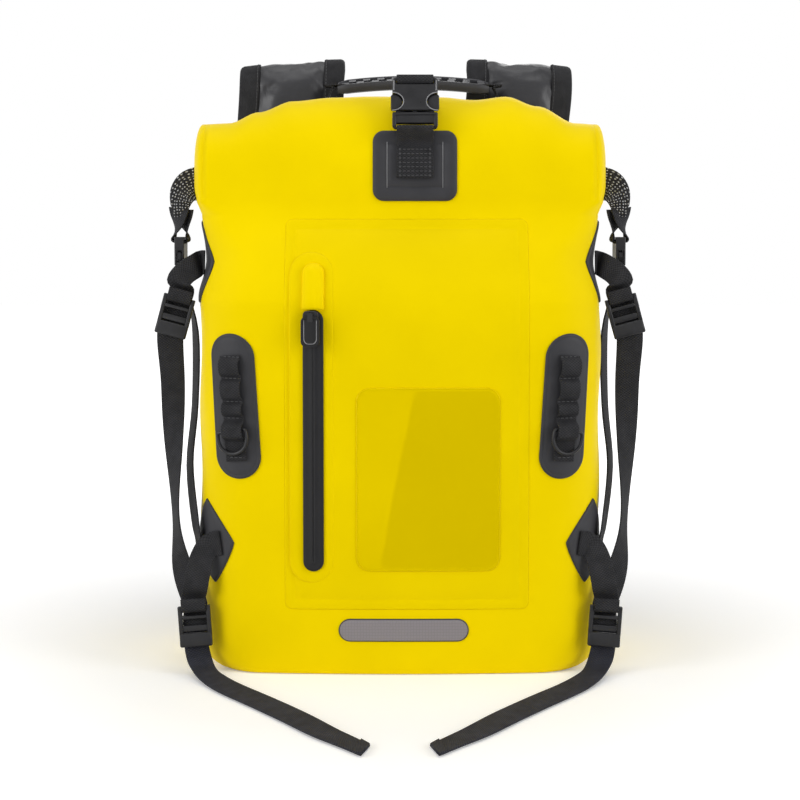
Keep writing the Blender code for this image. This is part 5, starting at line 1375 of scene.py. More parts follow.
def swap_mesh(piece, kind, **settings):
    """Give a piece the mesh that a modifier makes of its own."""
    modifier = piece.modifiers.new(kind.lower(), kind)
    for key, value in settings.items():
        setattr(modifier, key, value)
    mesh = evaluated_mesh(piece)
    piece.modifiers.remove(modifier)
    piece.data = mesh


def puff(piece, finish, pinned, cell, most, pressure=4.0, slack=-0.03):
    """Swell a closed mesh like stuffed fabric: remeshed, pinned where sewn, pressed out, moved no more than most."""
    swap_mesh(piece, "REMESH", mode="VOXEL", voxel_size=cell)
    swell(piece, pinned, most, pressure, slack)
    swap_mesh(piece, "SUBSURF", levels=1, render_levels=1)
    shade(piece)
    piece.data.materials.clear()
    piece.data.materials.append(FINISHES[finish])


def swell(piece, pinned, most, pressure, slack):
    """Run the cloth simulation and keep its shape."""
    mesh = piece.data
    starts = [vert.co.copy() for vert in mesh.vertices]
    group = piece.vertex_groups.new(name="sewn")
    for vert in mesh.vertices:
        group.add([vert.index], min(max(pinned(vert.co), 0.0), 1.0), "REPLACE")
    cloth = piece.modifiers.new("fabric", "CLOTH")
    for key, value in CLOTH.items():
        setattr(cloth.settings, key, value)
    cloth.settings.uniform_pressure_force = pressure
    cloth.settings.shrink_min = slack
    cloth.settings.effector_weights.gravity = 0.0
    cloth.point_cache.frame_start = 1
    cloth.point_cache.frame_end = CLOTH_FRAMES
    scene = bpy.context.scene
    for step in range(1, CLOTH_FRAMES + 1):
        scene.frame_set(step)
    graph = bpy.context.evaluated_depsgraph_get()
    swollen = [vert.co.copy() for vert in piece.evaluated_get(graph).data.vertices]
    piece.modifiers.remove(cloth)
    scene.frame_set(1)
    for vert, start, end in zip(mesh.vertices, starts, swollen):
        move = end - start
        if move.length > most:
            move *= most / move.length
        vert.co = start + move
    piece.vertex_groups.clear()


def back_pad_loop(inset):
    """Outline of the back pad, drawn in by an inset."""
    return rounded_loop((BACK_PAD_HALF_WIDTH, BACK_PAD_HALF_HEIGHT), BACK_PAD_CORNER, inset, 8, 16)


class PadStation:
    """One place along a shoulder pad: its middle, the way out of its face, its width, thickness and slope."""

    def __init__(self, centre, out, width, thickness, slope):
        self.slope = slope
        self.centre = centre
        self.out = out
        self.width = width
        self.thickness = thickness

    def spot(self, x, lift):
        """Point at a distance across and a height over the middle surface."""
        return self.centre + Vector((x, 0, -self.slope * x)) + self.out * lift


def shoulder_stations(side, steps=5):
    """Stations along a shoulder pad; over the shoulder its inner edge stands higher than its outer one."""
    rows = blend_points(SHOULDER_ROUTE, steps)
    count = len(SHOULDER_ROUTE)
    stations = []
    for k, (y, z, wide, tall) in enumerate(rows):
        ahead = rows[min(k + 1, len(rows) - 1)]
        behind = rows[max(k - 1, 0)]
        run = Vector((0.0, ahead[0] - behind[0], ahead[1] - behind[1])).normalized()
        share = max(k / steps - 7, 0) / (count - 8)
        crest = ease((z - SHOULDER_PEAK + 0.09) / 0.08)
        x = side * shoulder_x(share) + (PAD_SHIFT[side] - side * PAD_DRIFT) * crest
        centre = Vector((x, y, z + PAD_RISE * crest))
        stations.append(PadStation(centre, run.cross(ACROSS), SHOULDER_WIDTH * wide,
                                   SHOULDER_THICKNESS * tall, side * PAD_SLOPE * crest))
    return stations


class BACKPACK_OT_pads(bpy.types.Operator):
    """Shoulder pads and back pad, stuffed with foam and bound with tape"""

    bl_idname = "backpack.pads"
    bl_label = "Pads"

    BAND = 0.0178
    BAND_STAND = 0.0010
    EDGE_SHARE = 0.55
    FILL_SHARE = 0.88
    CORE_INSET = 0.002
    CORE_STEPS = 36
    CORE_POWERS = (0.75, 0.5)
    CELL = 0.0045
    PUFF = 0.0035
    BACK_CELL = 0.0055
    BACK_PUFF = 0.0045
    BACK_PROFILE = ((0.0, 1.0), (0.6, 3.6), (3.0, 5.6), (10.0, 6.6), (14.0, 9.4), (24.0, 10.6), (40.0, 11.0),
                    (60.0, 11.0), (80.0, 11.0), (103.0, 11.0))
    BACK_BORDER = 0.014
    BACK_CHANNEL = 0.026
    CHANNEL_HALF = 0.005
    CHANNEL_ENDS = (0.065, 0.290)
    CROSS_SEAM = 0.306
    TOP_SEWN = 0.335
    BACK_SEWN = 0.003
    BIND_INSET = 0.0045
    BIND_WIDTH = 0.011
    BIND_THICKNESS = 0.0072
    BIND_START = 16
    BIND_END = 0.995

    def pad_core(self, stations):
        """Foam of a shoulder pad: full in the middle, flatter under the bindings."""
        rings = []
        for station in stations:
            half = station.width / 2 - self.CORE_INSET
            ring = []
            for k in range(self.CORE_STEPS):
                angle = 2 * math.pi * k / self.CORE_STEPS
                c = math.cos(angle)
                s = math.sin(angle)
                x = half * math.copysign(abs(c) ** self.CORE_POWERS[0], c)
                inside = ease((half - self.BAND + 0.004 - abs(x)) / 0.008)
                share = self.EDGE_SHARE + (self.FILL_SHARE - self.EDGE_SHARE) * inside
                lift = station.thickness / 2 * share * math.copysign(abs(s) ** self.CORE_POWERS[1], s)
                ring.append(station.spot(x, lift))
            rings.append(ring)
        return loft(rings)

    def band(self, name, stations, hand):
        """Binding tape folded over one edge of a pad."""
        rings = []
        uvs = []
        travelled = 0.0
        for i, station in enumerate(stations):
            if i:
                travelled += (station.centre - stations[i - 1].centre).length
            edge = station.width / 2
            inner = max(edge - self.BAND, 0.002)
            thick = station.thickness / 2 * (self.EDGE_SHARE + 0.06) + self.BAND_STAND
            half = ((inner, thick * 1.04), (inner + 0.0006, thick * 1.1), (inner + 0.002, thick * 1.08),
                    ((inner + edge) / 2, thick), (edge - 0.003, thick * 0.93), (edge - 0.0008, thick * 0.7),
                    (edge + 0.0004, thick * 0.3))
            section = [*half, *[(x, -lift) for x, lift in half[::-1]]]
            rings.append([station.spot(hand * x, lift) for x, lift in section])
            uvs.append([(x if lift > 0 else 2 * edge - x, travelled) for x, lift in section])
        make_piece(name, loft(rings, uvs=uvs), "binding", "bag", "black_webbing")

    def shoulder_pad(self, side, word):
        stations = shoulder_stations(side)
        piece = finish_mesh("shoulder_foam_" + word, self.pad_core(stations), FINISHES["pad"])

        def pinned(point):
            station = min(stations, key=lambda item: (item.centre - point).length_squared)
            across = abs(point.x - station.centre.x)
            return ease((across - (station.width / 2 - self.BAND - 0.001)) / 0.003)

        puff(piece, "pad", pinned, self.CELL, self.PUFF)
        settle(piece, "bag", "pad_fabric", "shoulder_pad_" + word)
        self.band("shoulder_binding_inner_" + word, stations, -side)
        self.band("shoulder_binding_outer_" + word, stations, side)

    def back_pad(self):
        bm = patch_mesh(lambda u, v: Vector((-u, BACK_PAD_Y, v)), (0.0, BACK_PAD_MIDDLE), back_pad_loop,
                        self.BACK_PROFILE, under=0.0)
        piece = finish_mesh("back_foam", bm, FINISHES["mesh"])

        def pinned(point):
            if point.y < BACK_PAD_Y + self.BACK_SEWN:
                return 1.0
            inside_x = BACK_PAD_HALF_WIDTH - abs(point.x)
            inside_z = BACK_PAD_HALF_HEIGHT - abs(point.z - BACK_PAD_MIDDLE)
            if min(inside_x, inside_z) < self.BACK_BORDER:
                return 1.0
            if point.z > self.CROSS_SEAM - self.CHANNEL_HALF:
                return 1.0 if abs(point.z - self.CROSS_SEAM) < self.CHANNEL_HALF or point.z > self.TOP_SEWN else 0.0
            if self.CHANNEL_ENDS[0] < point.z < self.CHANNEL_ENDS[1]:
                return ease(2 - abs(abs(point.x) - self.BACK_CHANNEL) / self.CHANNEL_HALF)
            return 0.0

        puff(piece, "mesh", pinned, self.BACK_CELL, self.BACK_PUFF, pressure=5.0, slack=0.0)
        settle(piece, "bag", "pad_fabric", "back_pad")

    def back_binding(self):
        """Tape bound round the rim of the back pad."""
        loop = back_pad_loop(self.BIND_INSET)
        loop = loop[self.BIND_START:] + loop[:self.BIND_START + 1]
        y = BACK_PAD_Y + self.BIND_THICKNESS / 2
        points = [Vector((u, y, BACK_PAD_MIDDLE + v)) for u, v in loop]
        points[-1] = points[-2].lerp(points[-1], self.BIND_END)
        across = []
        for i in range(len(points)):
            run = points[min(i + 1, len(points) - 1)] - points[max(i - 1, 0)]
            across.append(Vector((-run.z, 0.0, run.x)).normalized())
        bm = strap_mesh(points, across, self.BIND_WIDTH, self.BIND_THICKNESS, 2)
        make_piece("back_binding", bm, "binding", "bag", "black_webbing")

    def execute(self, context):
        for side, word in SIDES:
            self.shoulder_pad(side, word)
        self.back_pad()
        self.back_binding()
        return {"FINISHED"}


class BACKPACK_OT_handle(bpy.types.Operator):
    """Carry handle: webbing through a moulded grip with two rows of ribs"""

    bl_idname = "backpack.handle"
    bl_label = "Carry handle"

    ARCH = 0.0045
    FLOOR = 0.0036
    RAIL = 0.0030
    STATIONS = 32
    END_SHARE = 0.78
    END_REACH = 0.12
    MOUTH_GAP = 0.0012
    TURN = math.radians(15)
    RIB = (0.0062, 0.0082, 0.0030)
    RIB_SPACING = 0.0125
    RIB_ROW = 0.0048
    RIB_END = 0.90
    SHADE_SHEET_END = 0.93
    LEG = ((0.0, 0.004), (0.001, 0.030))
    BEND = ((0.008, 0.022), (0.006, 0.008), (0.003, 0.002), (0.0, 0.0))
    TWIST = (0.43, 0.83)

    def turned(self, y, z):
        """Offset across the grip, whose top leans a little to the front."""
        return Vector((0.0, y * math.cos(self.TURN) - z * math.sin(self.TURN),
                       y * math.sin(self.TURN) + z * math.cos(self.TURN)))

    def arch(self, t):
        """Middle of the grip at a share of its half length."""
        return Vector((HANDLE_X + GRIP_HALF_LENGTH * t, HANDLE_Y, GRIP_Z + self.ARCH * (0.5 - t * t)))

    def grip(self):
        rings = []
        for t in spread(-1.0, 1.0, self.STATIONS):
            share = self.END_SHARE + (1 - self.END_SHARE) * ease((1 - abs(t)) / self.END_REACH)
            d = GRIP_DEPTH / 2 * share
            h = GRIP_HEIGHT / 2 * share
            floor = h - self.FLOOR * ease((0.97 - abs(t)) / 0.05)
            half = ((d, 0.0), (d * 0.97, h * 0.7), (d - 0.0012, h), (d - self.RAIL + 0.0006, h),
                    (d - self.RAIL, h - 0.0005), (d - self.RAIL - 0.0004, floor), (0.002, floor))
            low = ((d * 0.97, -h * 0.7), (d * 0.8, -h))
            section = [*half, *[(-y, z) for y, z in half[::-1]], *[(-y, z) for y, z in low],
                       *[(y, z) for y, z in low[::-1]]]
            rings.append([self.arch(t) + self.turned(y, z) for y, z in section])
        make_piece("handle_grip", loft(rings), "grip", "handle", "black_rubber", "carry_handle_grip", crisp=True)
        level = GRIP_HEIGHT / 2 - self.FLOOR / 2 - 0.0002
        out = self.turned(0.0, 1.0)
        lines = []
        for row, first in ((-1, -self.RIB_END), (1, -self.RIB_END + self.RIB_SPACING / GRIP_HALF_LENGTH / 2)):
            lines.append([(self.arch(t) + self.turned(row * self.RIB_ROW, level), out)
                          for t in spread(first, self.RIB_END, 20)])
        row_piece("grip_ribs", lines, self.RIB_SPACING, self.RIB, "grip", "handle", "black_rubber")
        # Dark sheet along the floor of the grip's channel, in the black zip-tape finish: it stands for webbing inside
        # the grip and is also painted shade in the channel between the ribs
        floor = GRIP_HEIGHT / 2 - self.FLOOR + 0.0004
        spots = [self.arch(t) + self.turned(0.0, floor) for t in spread(-self.SHADE_SHEET_END, self.SHADE_SHEET_END, 16)]
        bm = strap_mesh(spots, [self.turned(1.0, 0.0)] * len(spots), GRIP_DEPTH - 2 * self.RAIL - 0.001,
                        WEBBING_THICKNESS / 2)
        make_piece("grip_webbing_and_shade_sheet", bm, "zip_tape", "handle", "black_rubber")

    def webbing(self, sizes):
        foot_x, foot_z = HANDLE_FOOT
        mouth = GRIP_HALF_LENGTH + self.MOUTH_GAP
        leg_y = BAG_BACK - WEBBING_THICKNESS / 2
        half = [(-foot_x, leg_y, foot_z)]
        half += [(-foot_x, leg_y - back, BACK_PAD_TOP + rise) for back, rise in self.LEG]
        half += [(-mouth - out, HANDLE_Y, GRIP_Z - drop) for out, drop in self.BEND]
        level = -FORWARD
        turn = [ACROSS, ACROSS] + [ACROSS.lerp(level, share) for share in self.TWIST] + [level] * 3
        points = [Vector((HANDLE_X + x, y, z)) for x, y, z in half]
        points += [Vector((HANDLE_X - x, y, z)) for x, y, z in half[::-1]]
        across = turn + [Vector((-v.x, v.y, 0)) for v in turn[::-1]]
        bm = strap_mesh(points, across, sizes.webbing_width, sizes.webbing_thickness, 6)
        make_piece("handle_webbing", bm, "webbing", "handle", "black_webbing", "handle_strap")

    def execute(self, context):
        self.grip()
        self.webbing(context.scene.backpack_sizes)
        return {"FINISHED"}


class BACKPACK_OT_stitches(bpy.types.Operator):
    """Rows of stitches on the pads, the daisy chains and the top webbing"""

    bl_idname = "backpack.stitches"
    bl_label = "Stitches"

    STITCH = (0.0022, 0.0006, 0.0005)
    SPACING = 0.0032
    STAND = 0.0002
    END_TACK = 0.003
    TOP_BOX = (0.0122, 0.4056, 0.4260)
    TOP_ROWS = 6
    BAND_SEAM = 0.0160
    PAD_EDGE = 0.62
    TACK_HALF_WIDTH = 0.0068
    BACK_SEAM = 0.0082
    BACK_LEVEL = 0.0074

    def top_lines(self):
        lift = ON_PATCH + 2 * WEBBING_THICKNESS + SEAT + self.STAND
        half, low, high = self.TOP_BOX
        rows = spread(low, high, self.TOP_ROWS)
        lines = [[(-half, z), (half, z)] for z in rows] + [[(hand * half, z) for z in rows] for hand in (-1, 1)]
        return [[(lifted(roll_face, TOP_PATCH_X + x, z, lift), FORWARD) for x, z in line] for line in lines]

    def pad_lines(self, side):
        stations = shoulder_stations(side)
        lines = []
        for hand in (-1, 1):
            for face in (-1, 1):
                line = []
                for station in stations:
                    x = max(station.width / 2 - self.BAND_SEAM, 0.004)
                    lift = station.thickness / 2 * self.PAD_EDGE * 1.08 + 0.0012
                    line.append((station.spot(hand * x, face * lift), station.out * face))
                lines.append(line)
        return lines

    def tack_lines(self, side):
        lines = []
        for z in (*BACKPACK_OT_straps.TACKS, DAISY_BOTTOM + self.END_TACK, DAISY_TOP - self.END_TACK):
            s = seen_patch_s(side, z)
            line = []
            for spot in spread(s - self.TACK_HALF_WIDTH, s + self.TACK_HALF_WIDTH, 4):
                point = lifted(skin, spot, z, ON_PATCH + WEBBING_THICKNESS + self.STAND)
                line.append((point, (point - skin(spot, z)).normalized()))
            lines.append(line)
        return lines

    def back_lines(self):
        loop = back_pad_loop(self.BACK_SEAM)
        y = BACK_PAD_Y + self.BACK_LEVEL
        return [[(Vector((u, y, BACK_PAD_MIDDLE + v)), -FORWARD) for u, v in [*loop, loop[0]]]]

    def execute(self, context):
        lines = self.back_lines()
        for side, _ in SIDES:
            lines += self.pad_lines(side) + self.tack_lines(side)
        for name, body, rows in (("bag_stitches", "bag", lines), ("roll_stitches", "roll", self.top_lines())):
            row_piece(name, rows, self.SPACING, self.STITCH, "thread", body, "black_webbing")
        return {"FINISHED"}


# Moulded hardware


def plate_mesh(bm, loops, low, high, place, bevel):
    """Add a flat piece with rounded edges to a bmesh: the first outline, less the others, between two levels."""
    curve = bpy.data.curves.new("plate", "CURVE")
    curve.dimensions = "2D"
    curve.fill_mode = "BOTH"
    curve.extrude = (high - low) / 2 - bevel
    curve.bevel_depth = bevel
    curve.bevel_resolution = 2
    curve.offset = -bevel
    for loop in loops:
        spline = curve.splines.new("POLY")
        spline.points.add(len(loop) - 1)
        for point, (x, y) in zip(spline.points, loop):
            point.co = (x, y, 0.0, 1.0)
        spline.use_cyclic_u = True
    holder = bpy.data.objects.new("plate", curve)
    bpy.context.scene.collection.objects.link(holder)
    mesh = evaluated_mesh(holder)
    mesh.transform(place @ Matrix.Translation((0.0, 0.0, (low + high) / 2)))
    bm.from_mesh(mesh)
    bpy.data.objects.remove(holder)
    bpy.data.curves.remove(curve)
    bpy.data.meshes.remove(mesh)


def rounded_box(bm, low, high, radius, place, bend=None):
    """Add a box with round edges to a bmesh; bend moves its points before they are placed."""
    made = bmesh.new()
    bmesh.ops.create_cube(made, size=1.0)
    low = Vector(low)
    size = Vector(high) - low
    for vert in made.verts:
        vert.co = low + Vector([(a + 0.5) * b for a, b in zip(vert.co, size)])
    bmesh.ops.bevel(made, geom=made.edges, offset=radius, segments=3, affect="EDGES", profile=0.5)
    for vert in made.verts:
        vert.co = place @ (bend(vert.co) if bend else vert.co)
    mesh = bpy.data.meshes.new("box")
    made.to_mesh(mesh)
    made.free()
    bm.from_mesh(mesh)
    bpy.data.meshes.remove(mesh)


def edge_boxes(bm, half, width, low, high, radius, place):
    """Add a box along each side edge of a piece, with its low and high corners across that width."""
    for hand in (-1, 1):
        left = min(hand * half, hand * (half - width))
        rounded_box(bm, (left, *low), (left + width, *high), radius, place)


def rounded_rectangle(half_u, half_v, radius, centre=(0.0, 0.0)):
    """Outline with round corners about a centre."""
    return [(centre[0] + u, centre[1] + v) for u, v in rounded_loop((half_u, half_v), radius, 0.0, 5, 1)]


def ring_frame(side):
    """Frame of a D-ring: X along its bar, Y up the leaning webbing, Z away from the bag."""
    s = side * (SIDE_PATCH_S + SIDE_PATCH_LEAN * (RING_BAR_Z - SIDE_PATCH_Z))
    centre = lifted(plain_skin, s, RING_BAR_Z, RING_LEVEL)
    normal = (lifted(plain_skin, s, RING_BAR_Z, 1.0) - plain_skin(s, RING_BAR_Z)).normalized()
    up = plain_skin(s + side * SIDE_PATCH_LEAN * RING_WIRE, RING_BAR_Z + RING_WIRE) - plain_skin(s, RING_BAR_Z)
    up = (up - normal * up.dot(normal)).normalized()
    return axes(centre, up.cross(normal), up)


class BACKPACK_OT_hardware(bpy.types.Operator):
    """Moulded hardware: top buckle, ladder locks, D-rings and zip pull; the rest keeps its CAD shape"""

    bl_idname = "backpack.hardware"
    bl_label = "Hardware"

    WORDS = ("side_buckle", "side_prong", "zip_slider")
    FACE_SKIN = 0.0018
    FACE_BEVEL = 0.0005
    CORE_OVERLAP = 0.0002
    CORE_ROUND = 0.0006
    CORE_INSET = 0.001
    CORE_WALL = 0.003
    CROSS_BAR = 0.0022
    BITE = (0.0088, 0.0072)
    BITE_Y = 0.0082
    BITE_STEPS = 12
    CHEEK_GAP = 0.0005
    CHEEK_STAND = 0.0012
    CHEEK_HALF = 0.0052
    CHEEK_BEVEL = 0.0006
    MALE_HALF = 0.0026
    MALE_ROUND = 0.0008
    MALE_SLOT = 0.0028
    MALE_RAIL = 0.0030
    TONGUE_HALF = 0.0015
    TONGUE_SHORT = 0.004
    ARM = (0.0028, 0.0066)
    ARM_LOW = -0.0003
    ARM_HIGH = 0.0174
    ARM_HALF = 0.0018
    SMALL_ROUND = 0.0004
    SHOULDER = 0.003
    LIP_TILT = 0.10
    LIP = 0.0009
    LIP_SUNK = 0.0004
    LIP_PROUD = 0.0003
    LIP_INSET = 0.0013
    LOCK_RAIL = 0.0034
    LOCK_LIP = 0.0062
    LOCK_BACK = -0.002
    LOCK_FRONT = 0.0021
    LOCK_LIP_FRONT = 0.0022
    LOCK_LIP_ROUND = 0.0014
    BAR_FACE = 0.0016
    BAR_ROUND = 0.0009
    BAR_OVERLAP = 0.0004
    PULL_THICKNESS = 0.0026
    PULL_CORNER = 0.0045
    PULL_RIM = 0.0018
    PULL_SUNK = 0.0009
    LINE_INSET = 0.0022
    LINE_TURN = 0.004
    LINE_WIDTH = 0.0006
    RING_LEG = 0.006
    RING_CLEAR = 0.0022
    RING_TURN = 0.8
    WIRE_STEPS = 12
    STRIP_SHORT = 0.003
    STRIP_ROUND = 0.001

    def piece(self, name, bm, body, *nodes, finish="plastic"):
        make_piece(name, bm, finish, body, "black_plastic", *nodes, crisp=True)

    def bite(self, hand, grow=0.0):
        """Round bite in the female face where a cheek shows, from its lower end to its upper end."""
        reach, rise = (size + grow for size in self.BITE)
        return [(hand * (TOP_BUCKLE.half - reach * math.cos(a)), self.BITE_Y + rise * math.sin(a))
                for a in spread(-math.pi / 2, math.pi / 2, self.BITE_STEPS)]

    def top_female(self, place):
        half = TOP_BUCKLE.half
        top = TOP_BUCKLE.female
        right = [(half - 0.0006, 0.0008), *self.bite(1), (half, top - self.SHOULDER)]
        for angle in spread(0.0, math.pi / 2, 4):
            right.append((half - self.SHOULDER * (1 - math.cos(angle)), top - self.SHOULDER * (1 - math.sin(angle))))
        outline = right + [(-x, y) for x, y in right[::-1]]
        slot = rounded_rectangle(TOP_WEBBING_WIDTH / 2 + 0.0006, TOP_BUCKLE.SLOT / 2, 0.0008,
                                 (0.0, TOP_BUCKLE.female_slot))
        bm = bmesh.new()
        out = TOP_BUCKLE.thickness / 2
        for low in (out - self.FACE_SKIN, -out):
            plate_mesh(bm, [outline, slot], low, low + self.FACE_SKIN, place, self.FACE_BEVEL)
        wall = self.BITE_Y + self.BITE[1] + 0.0006
        core = out - self.FACE_SKIN + self.CORE_OVERLAP
        edge_boxes(bm, half, self.CORE_WALL, (wall, -core), (top - 0.0016, core), self.CORE_ROUND, place)
        bar = TOP_BUCKLE.female_slot + TOP_BUCKLE.SLOT / 2
        under = bar - TOP_BUCKLE.SLOT
        inner = half - self.CORE_INSET
        for low, high in ((bar, top - 0.0002), (under - self.CROSS_BAR, under)):
            rounded_box(bm, (-inner, low, -core), (inner, high, core), self.CORE_ROUND, place)
        self.piece("top_buckle_socket", bm, "closing_strap", "top_buckle_female")

    def top_painted_lips(self, place):
        """Pale lips round the bites and up the shoulders of the socket: painted highlights where light would catch
        these edges.
        """
        bm = bmesh.new()
        out = TOP_BUCKLE.thickness / 2
        back = out - self.LIP_SUNK
        front = out + self.LIP_PROUD
        for hand in (-1, 1):
            inner = self.bite(hand, self.LIP)
            outer = self.bite(hand, 0.0001)
            plate_mesh(bm, [inner + outer[::-1]], back, front, place, 0.0001)
            low = hand * (TOP_BUCKLE.half - self.LIP_INSET) - self.LIP / 2
            rounded_box(bm, (low, self.BITE_Y + 0.0092, back), (low + self.LIP, TOP_BUCKLE.female - 0.0022, front),
                        0.0002, place)
        make_piece("top_buckle_painted_highlights", bm, "edge", "closing_strap", "black_plastic")

    def zip_pull(self):
        """Moulded pull: a dark tab with a sunk middle, and a thin pale line round its lower end that is a painted
        highlight on its rim.
        """
        low, high = (Vector(corner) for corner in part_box("zip_pull"))
        middle = (low + high) / 2
        half_u = (high.x - low.x) / 2 - 0.0002
        half_v = (high.z - low.z) / 2 - 0.0002
        out = self.PULL_THICKNESS / 2
        place = axes((middle.x, low.y + out, middle.z), skin_across(ZIP_X, middle.z), UP)
        bm = bmesh.new()
        outline = rounded_rectangle(half_u, half_v, self.PULL_CORNER)
        plate_mesh(bm, [outline], -out, out - 0.0008, place, 0.0004)
        opening = rounded_rectangle(half_u - self.PULL_RIM, half_v - self.PULL_RIM, 0.0032)
        plate_mesh(bm, [outline, opening], out - self.PULL_SUNK, out, place, 0.0003)
        self.piece("zip_pull_tab", bm, "pull", "zip_pull", finish="pull")
        # The thin pale line inside the rim is a painted highlight, in the pale edge plastic
        bm = bmesh.new()
        u = half_u - self.LINE_INSET
        v = half_v - self.LINE_INSET
        turn = self.LINE_TURN
        route = [(u, v)] + [(u - turn + turn * math.cos(a), -v + turn + turn * math.sin(a))
                            for a in spread(0.0, -math.pi / 2, 6)]
        route += [(-x, y) for x, y in route[::-1]]
        inner = [(x * (1 - self.LINE_WIDTH / u), y + self.LINE_WIDTH * (y < 0)) for x, y in route]
        plate_mesh(bm, [route + inner[::-1]], out - self.PULL_SUNK, out - 0.0003, place, 0.0001)
        make_piece("zip_pull_painted_highlight", bm, "edge", "pull", "black_plastic")

    def stiffener(self):
        """Strip inside the roll, a little shorter than the roll so that its ends stay covered."""
        low, high = (Vector(corner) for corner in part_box("roll_stiffener"))
        short = Vector((self.STRIP_SHORT, 0.0, 0.0))
        bm = bmesh.new()
        rounded_box(bm, low + short, high - short, self.STRIP_ROUND, Matrix())
        self.piece("stiffener_strip", bm, "roll", "roll_stiffener")

    def top_male(self, place):
        half = TOP_BUCKLE.half
        male = TOP_BUCKLE.male
        base = rounded_rectangle(half, male / 2 - 0.0002, 0.003, (0.0, -male / 2))
        slot = rounded_rectangle(TOP_WEBBING_WIDTH / 2 + 0.0002, 0.0016, 0.0006, (0.0, -male + self.MALE_SLOT))
        bm = bmesh.new()
        plate_mesh(bm, [base, slot], -self.MALE_HALF, self.MALE_HALF, place, self.MALE_ROUND)
        rounded_box(bm, (-half + 0.0008, -0.0030, 0.0018), (half - 0.0008, -0.0006, 0.0036), self.MALE_ROUND, place)
        edge_boxes(bm, half, self.MALE_RAIL, (0.0012 - male, 0.0016), (-0.0012, 0.0034), self.MALE_ROUND, place)
        tongue = TOP_BUCKLE.female_slot - TOP_BUCKLE.SLOT - self.TONGUE_SHORT
        rounded_box(bm, (-self.TONGUE_HALF, -0.001, -0.002), (self.TONGUE_HALF, tongue, 0.002), self.SMALL_ROUND,
                    place)
        self.piece("top_buckle_prongs_base", bm, "roll", "top_buckle_male")

    def top_prong(self, place, hand, word):
        half = TOP_BUCKLE.half
        outline = self.bite(hand, -self.CHEEK_GAP)
        outline += [(hand * (half + self.CHEEK_STAND), self.BITE_Y + y) for y in (self.CHEEK_HALF, -self.CHEEK_HALF)]
        bm = bmesh.new()
        plate_mesh(bm, [outline], -self.MALE_HALF, self.MALE_HALF, place, self.CHEEK_BEVEL)
        left, right = sorted(hand * (half - inset) for inset in self.ARM)
        rounded_box(bm, (left, self.ARM_LOW, -self.ARM_HALF), (right, self.ARM_HIGH, self.ARM_HALF),
                    self.SMALL_ROUND, place)
        self.piece("top_cheek_" + word, bm, "top_prong_" + word + "_arm", "top_prong_" + word)

    def lock(self, name, body, node, place):
        half = LOCK_WIDTH / 2
        top = LOCK_HEIGHT / 2
        first = top - LOCK_BAR
        second = first - LOCK_SLOT - LOCK_BAR
        third = second - LOCK_SLOT
        lip = third - self.LOCK_LIP
        bm = bmesh.new()

        def bend(point):
            return Vector((point.x, point.y, point.z + self.LIP_TILT * max(lip - point.y, 0.0)))

        edge_boxes(bm, half, self.LOCK_RAIL, (lip - 0.002, self.LOCK_BACK), (top - 0.0005, self.LOCK_FRONT),
                   self.MALE_ROUND, place)
        bars = ((first, top, -self.BAR_FACE, self.BAR_FACE),
                (second, second + LOCK_BAR, self.LOCK_BACK, self.LOCK_FRONT),
                (lip + 0.0012, third, self.LOCK_BACK, self.BAR_FACE))
        inner = half - self.LOCK_RAIL + self.BAR_OVERLAP
        for low, high, back, front in bars:
            rounded_box(bm, (-inner, low, back), (inner, high, front), self.BAR_ROUND, place)
        rounded_box(bm, (-half, -top, self.LOCK_BACK), (half, lip, self.LOCK_LIP_FRONT), self.LOCK_LIP_ROUND, place,
                    bend)
        self.piece(name, bm, body, node)

    def ring(self, side, word):
        place = ring_frame(side)
        half = DAISY_WIDTH / 2 + self.RING_CLEAR + RING_WIRE / 2
        route = [Vector((half * math.cos(a), -half * math.sin(a) - self.RING_LEG, 0.0))
                 for a in spread(0.0, math.pi, 24)]
        turn = RING_WIRE * self.RING_TURN
        for hand in (-1, 1):
            corner = [Vector((hand * (half - turn + turn * math.cos(a)), -turn + turn * math.sin(a), 0.0))
                      for a in spread(0.0, math.pi / 2, 4)]
            route += corner if hand < 0 else corner[::-1]
        rings = []
        angles = spread(0.0, 2 * math.pi, self.WIRE_STEPS)[:-1]
        for i, centre in enumerate(route):
            run = (route[(i + 1) % len(route)] - route[i - 1]).normalized()
            level = UP.cross(run)
            rings.append([place @ (centre + (level * math.cos(a) + UP * math.sin(a)) * (RING_WIRE / 2))
                          for a in angles])
        self.piece("ring_" + word + "_wire", loft(rings, closed=True), "ring_" + word, "d_ring_" + word)

    def execute(self, context):
        for name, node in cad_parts.items():
            if any(word in name for word in self.WORDS):
                node.data.materials.clear()
                node.data.materials.append(FINISHES["plastic"])
        place = top_buckle_frame()
        self.top_female(place)
        self.top_painted_lips(place)
        self.top_male(place)
        self.stiffener()
        self.zip_pull()
        spots = (("upper", lock_frame(UPPER_LOCK, UPPER_LOCK_LEAN)),
                 ("lower", lock_frame(LOWER_LOCK, LOWER_LOCK_LEAN)), ("shoulder", shoulder_lock_frame()))
        for side, word in SIDES:
            self.top_prong(place, side, word)
            for key, spot in spots:
                name = key + "_ladder_lock_" + word
                self.lock(key + "_lock_" + word, name + "_frame", name, mirrored(spot, side))
            self.ring(side, word)
        return {"FINISHED"}


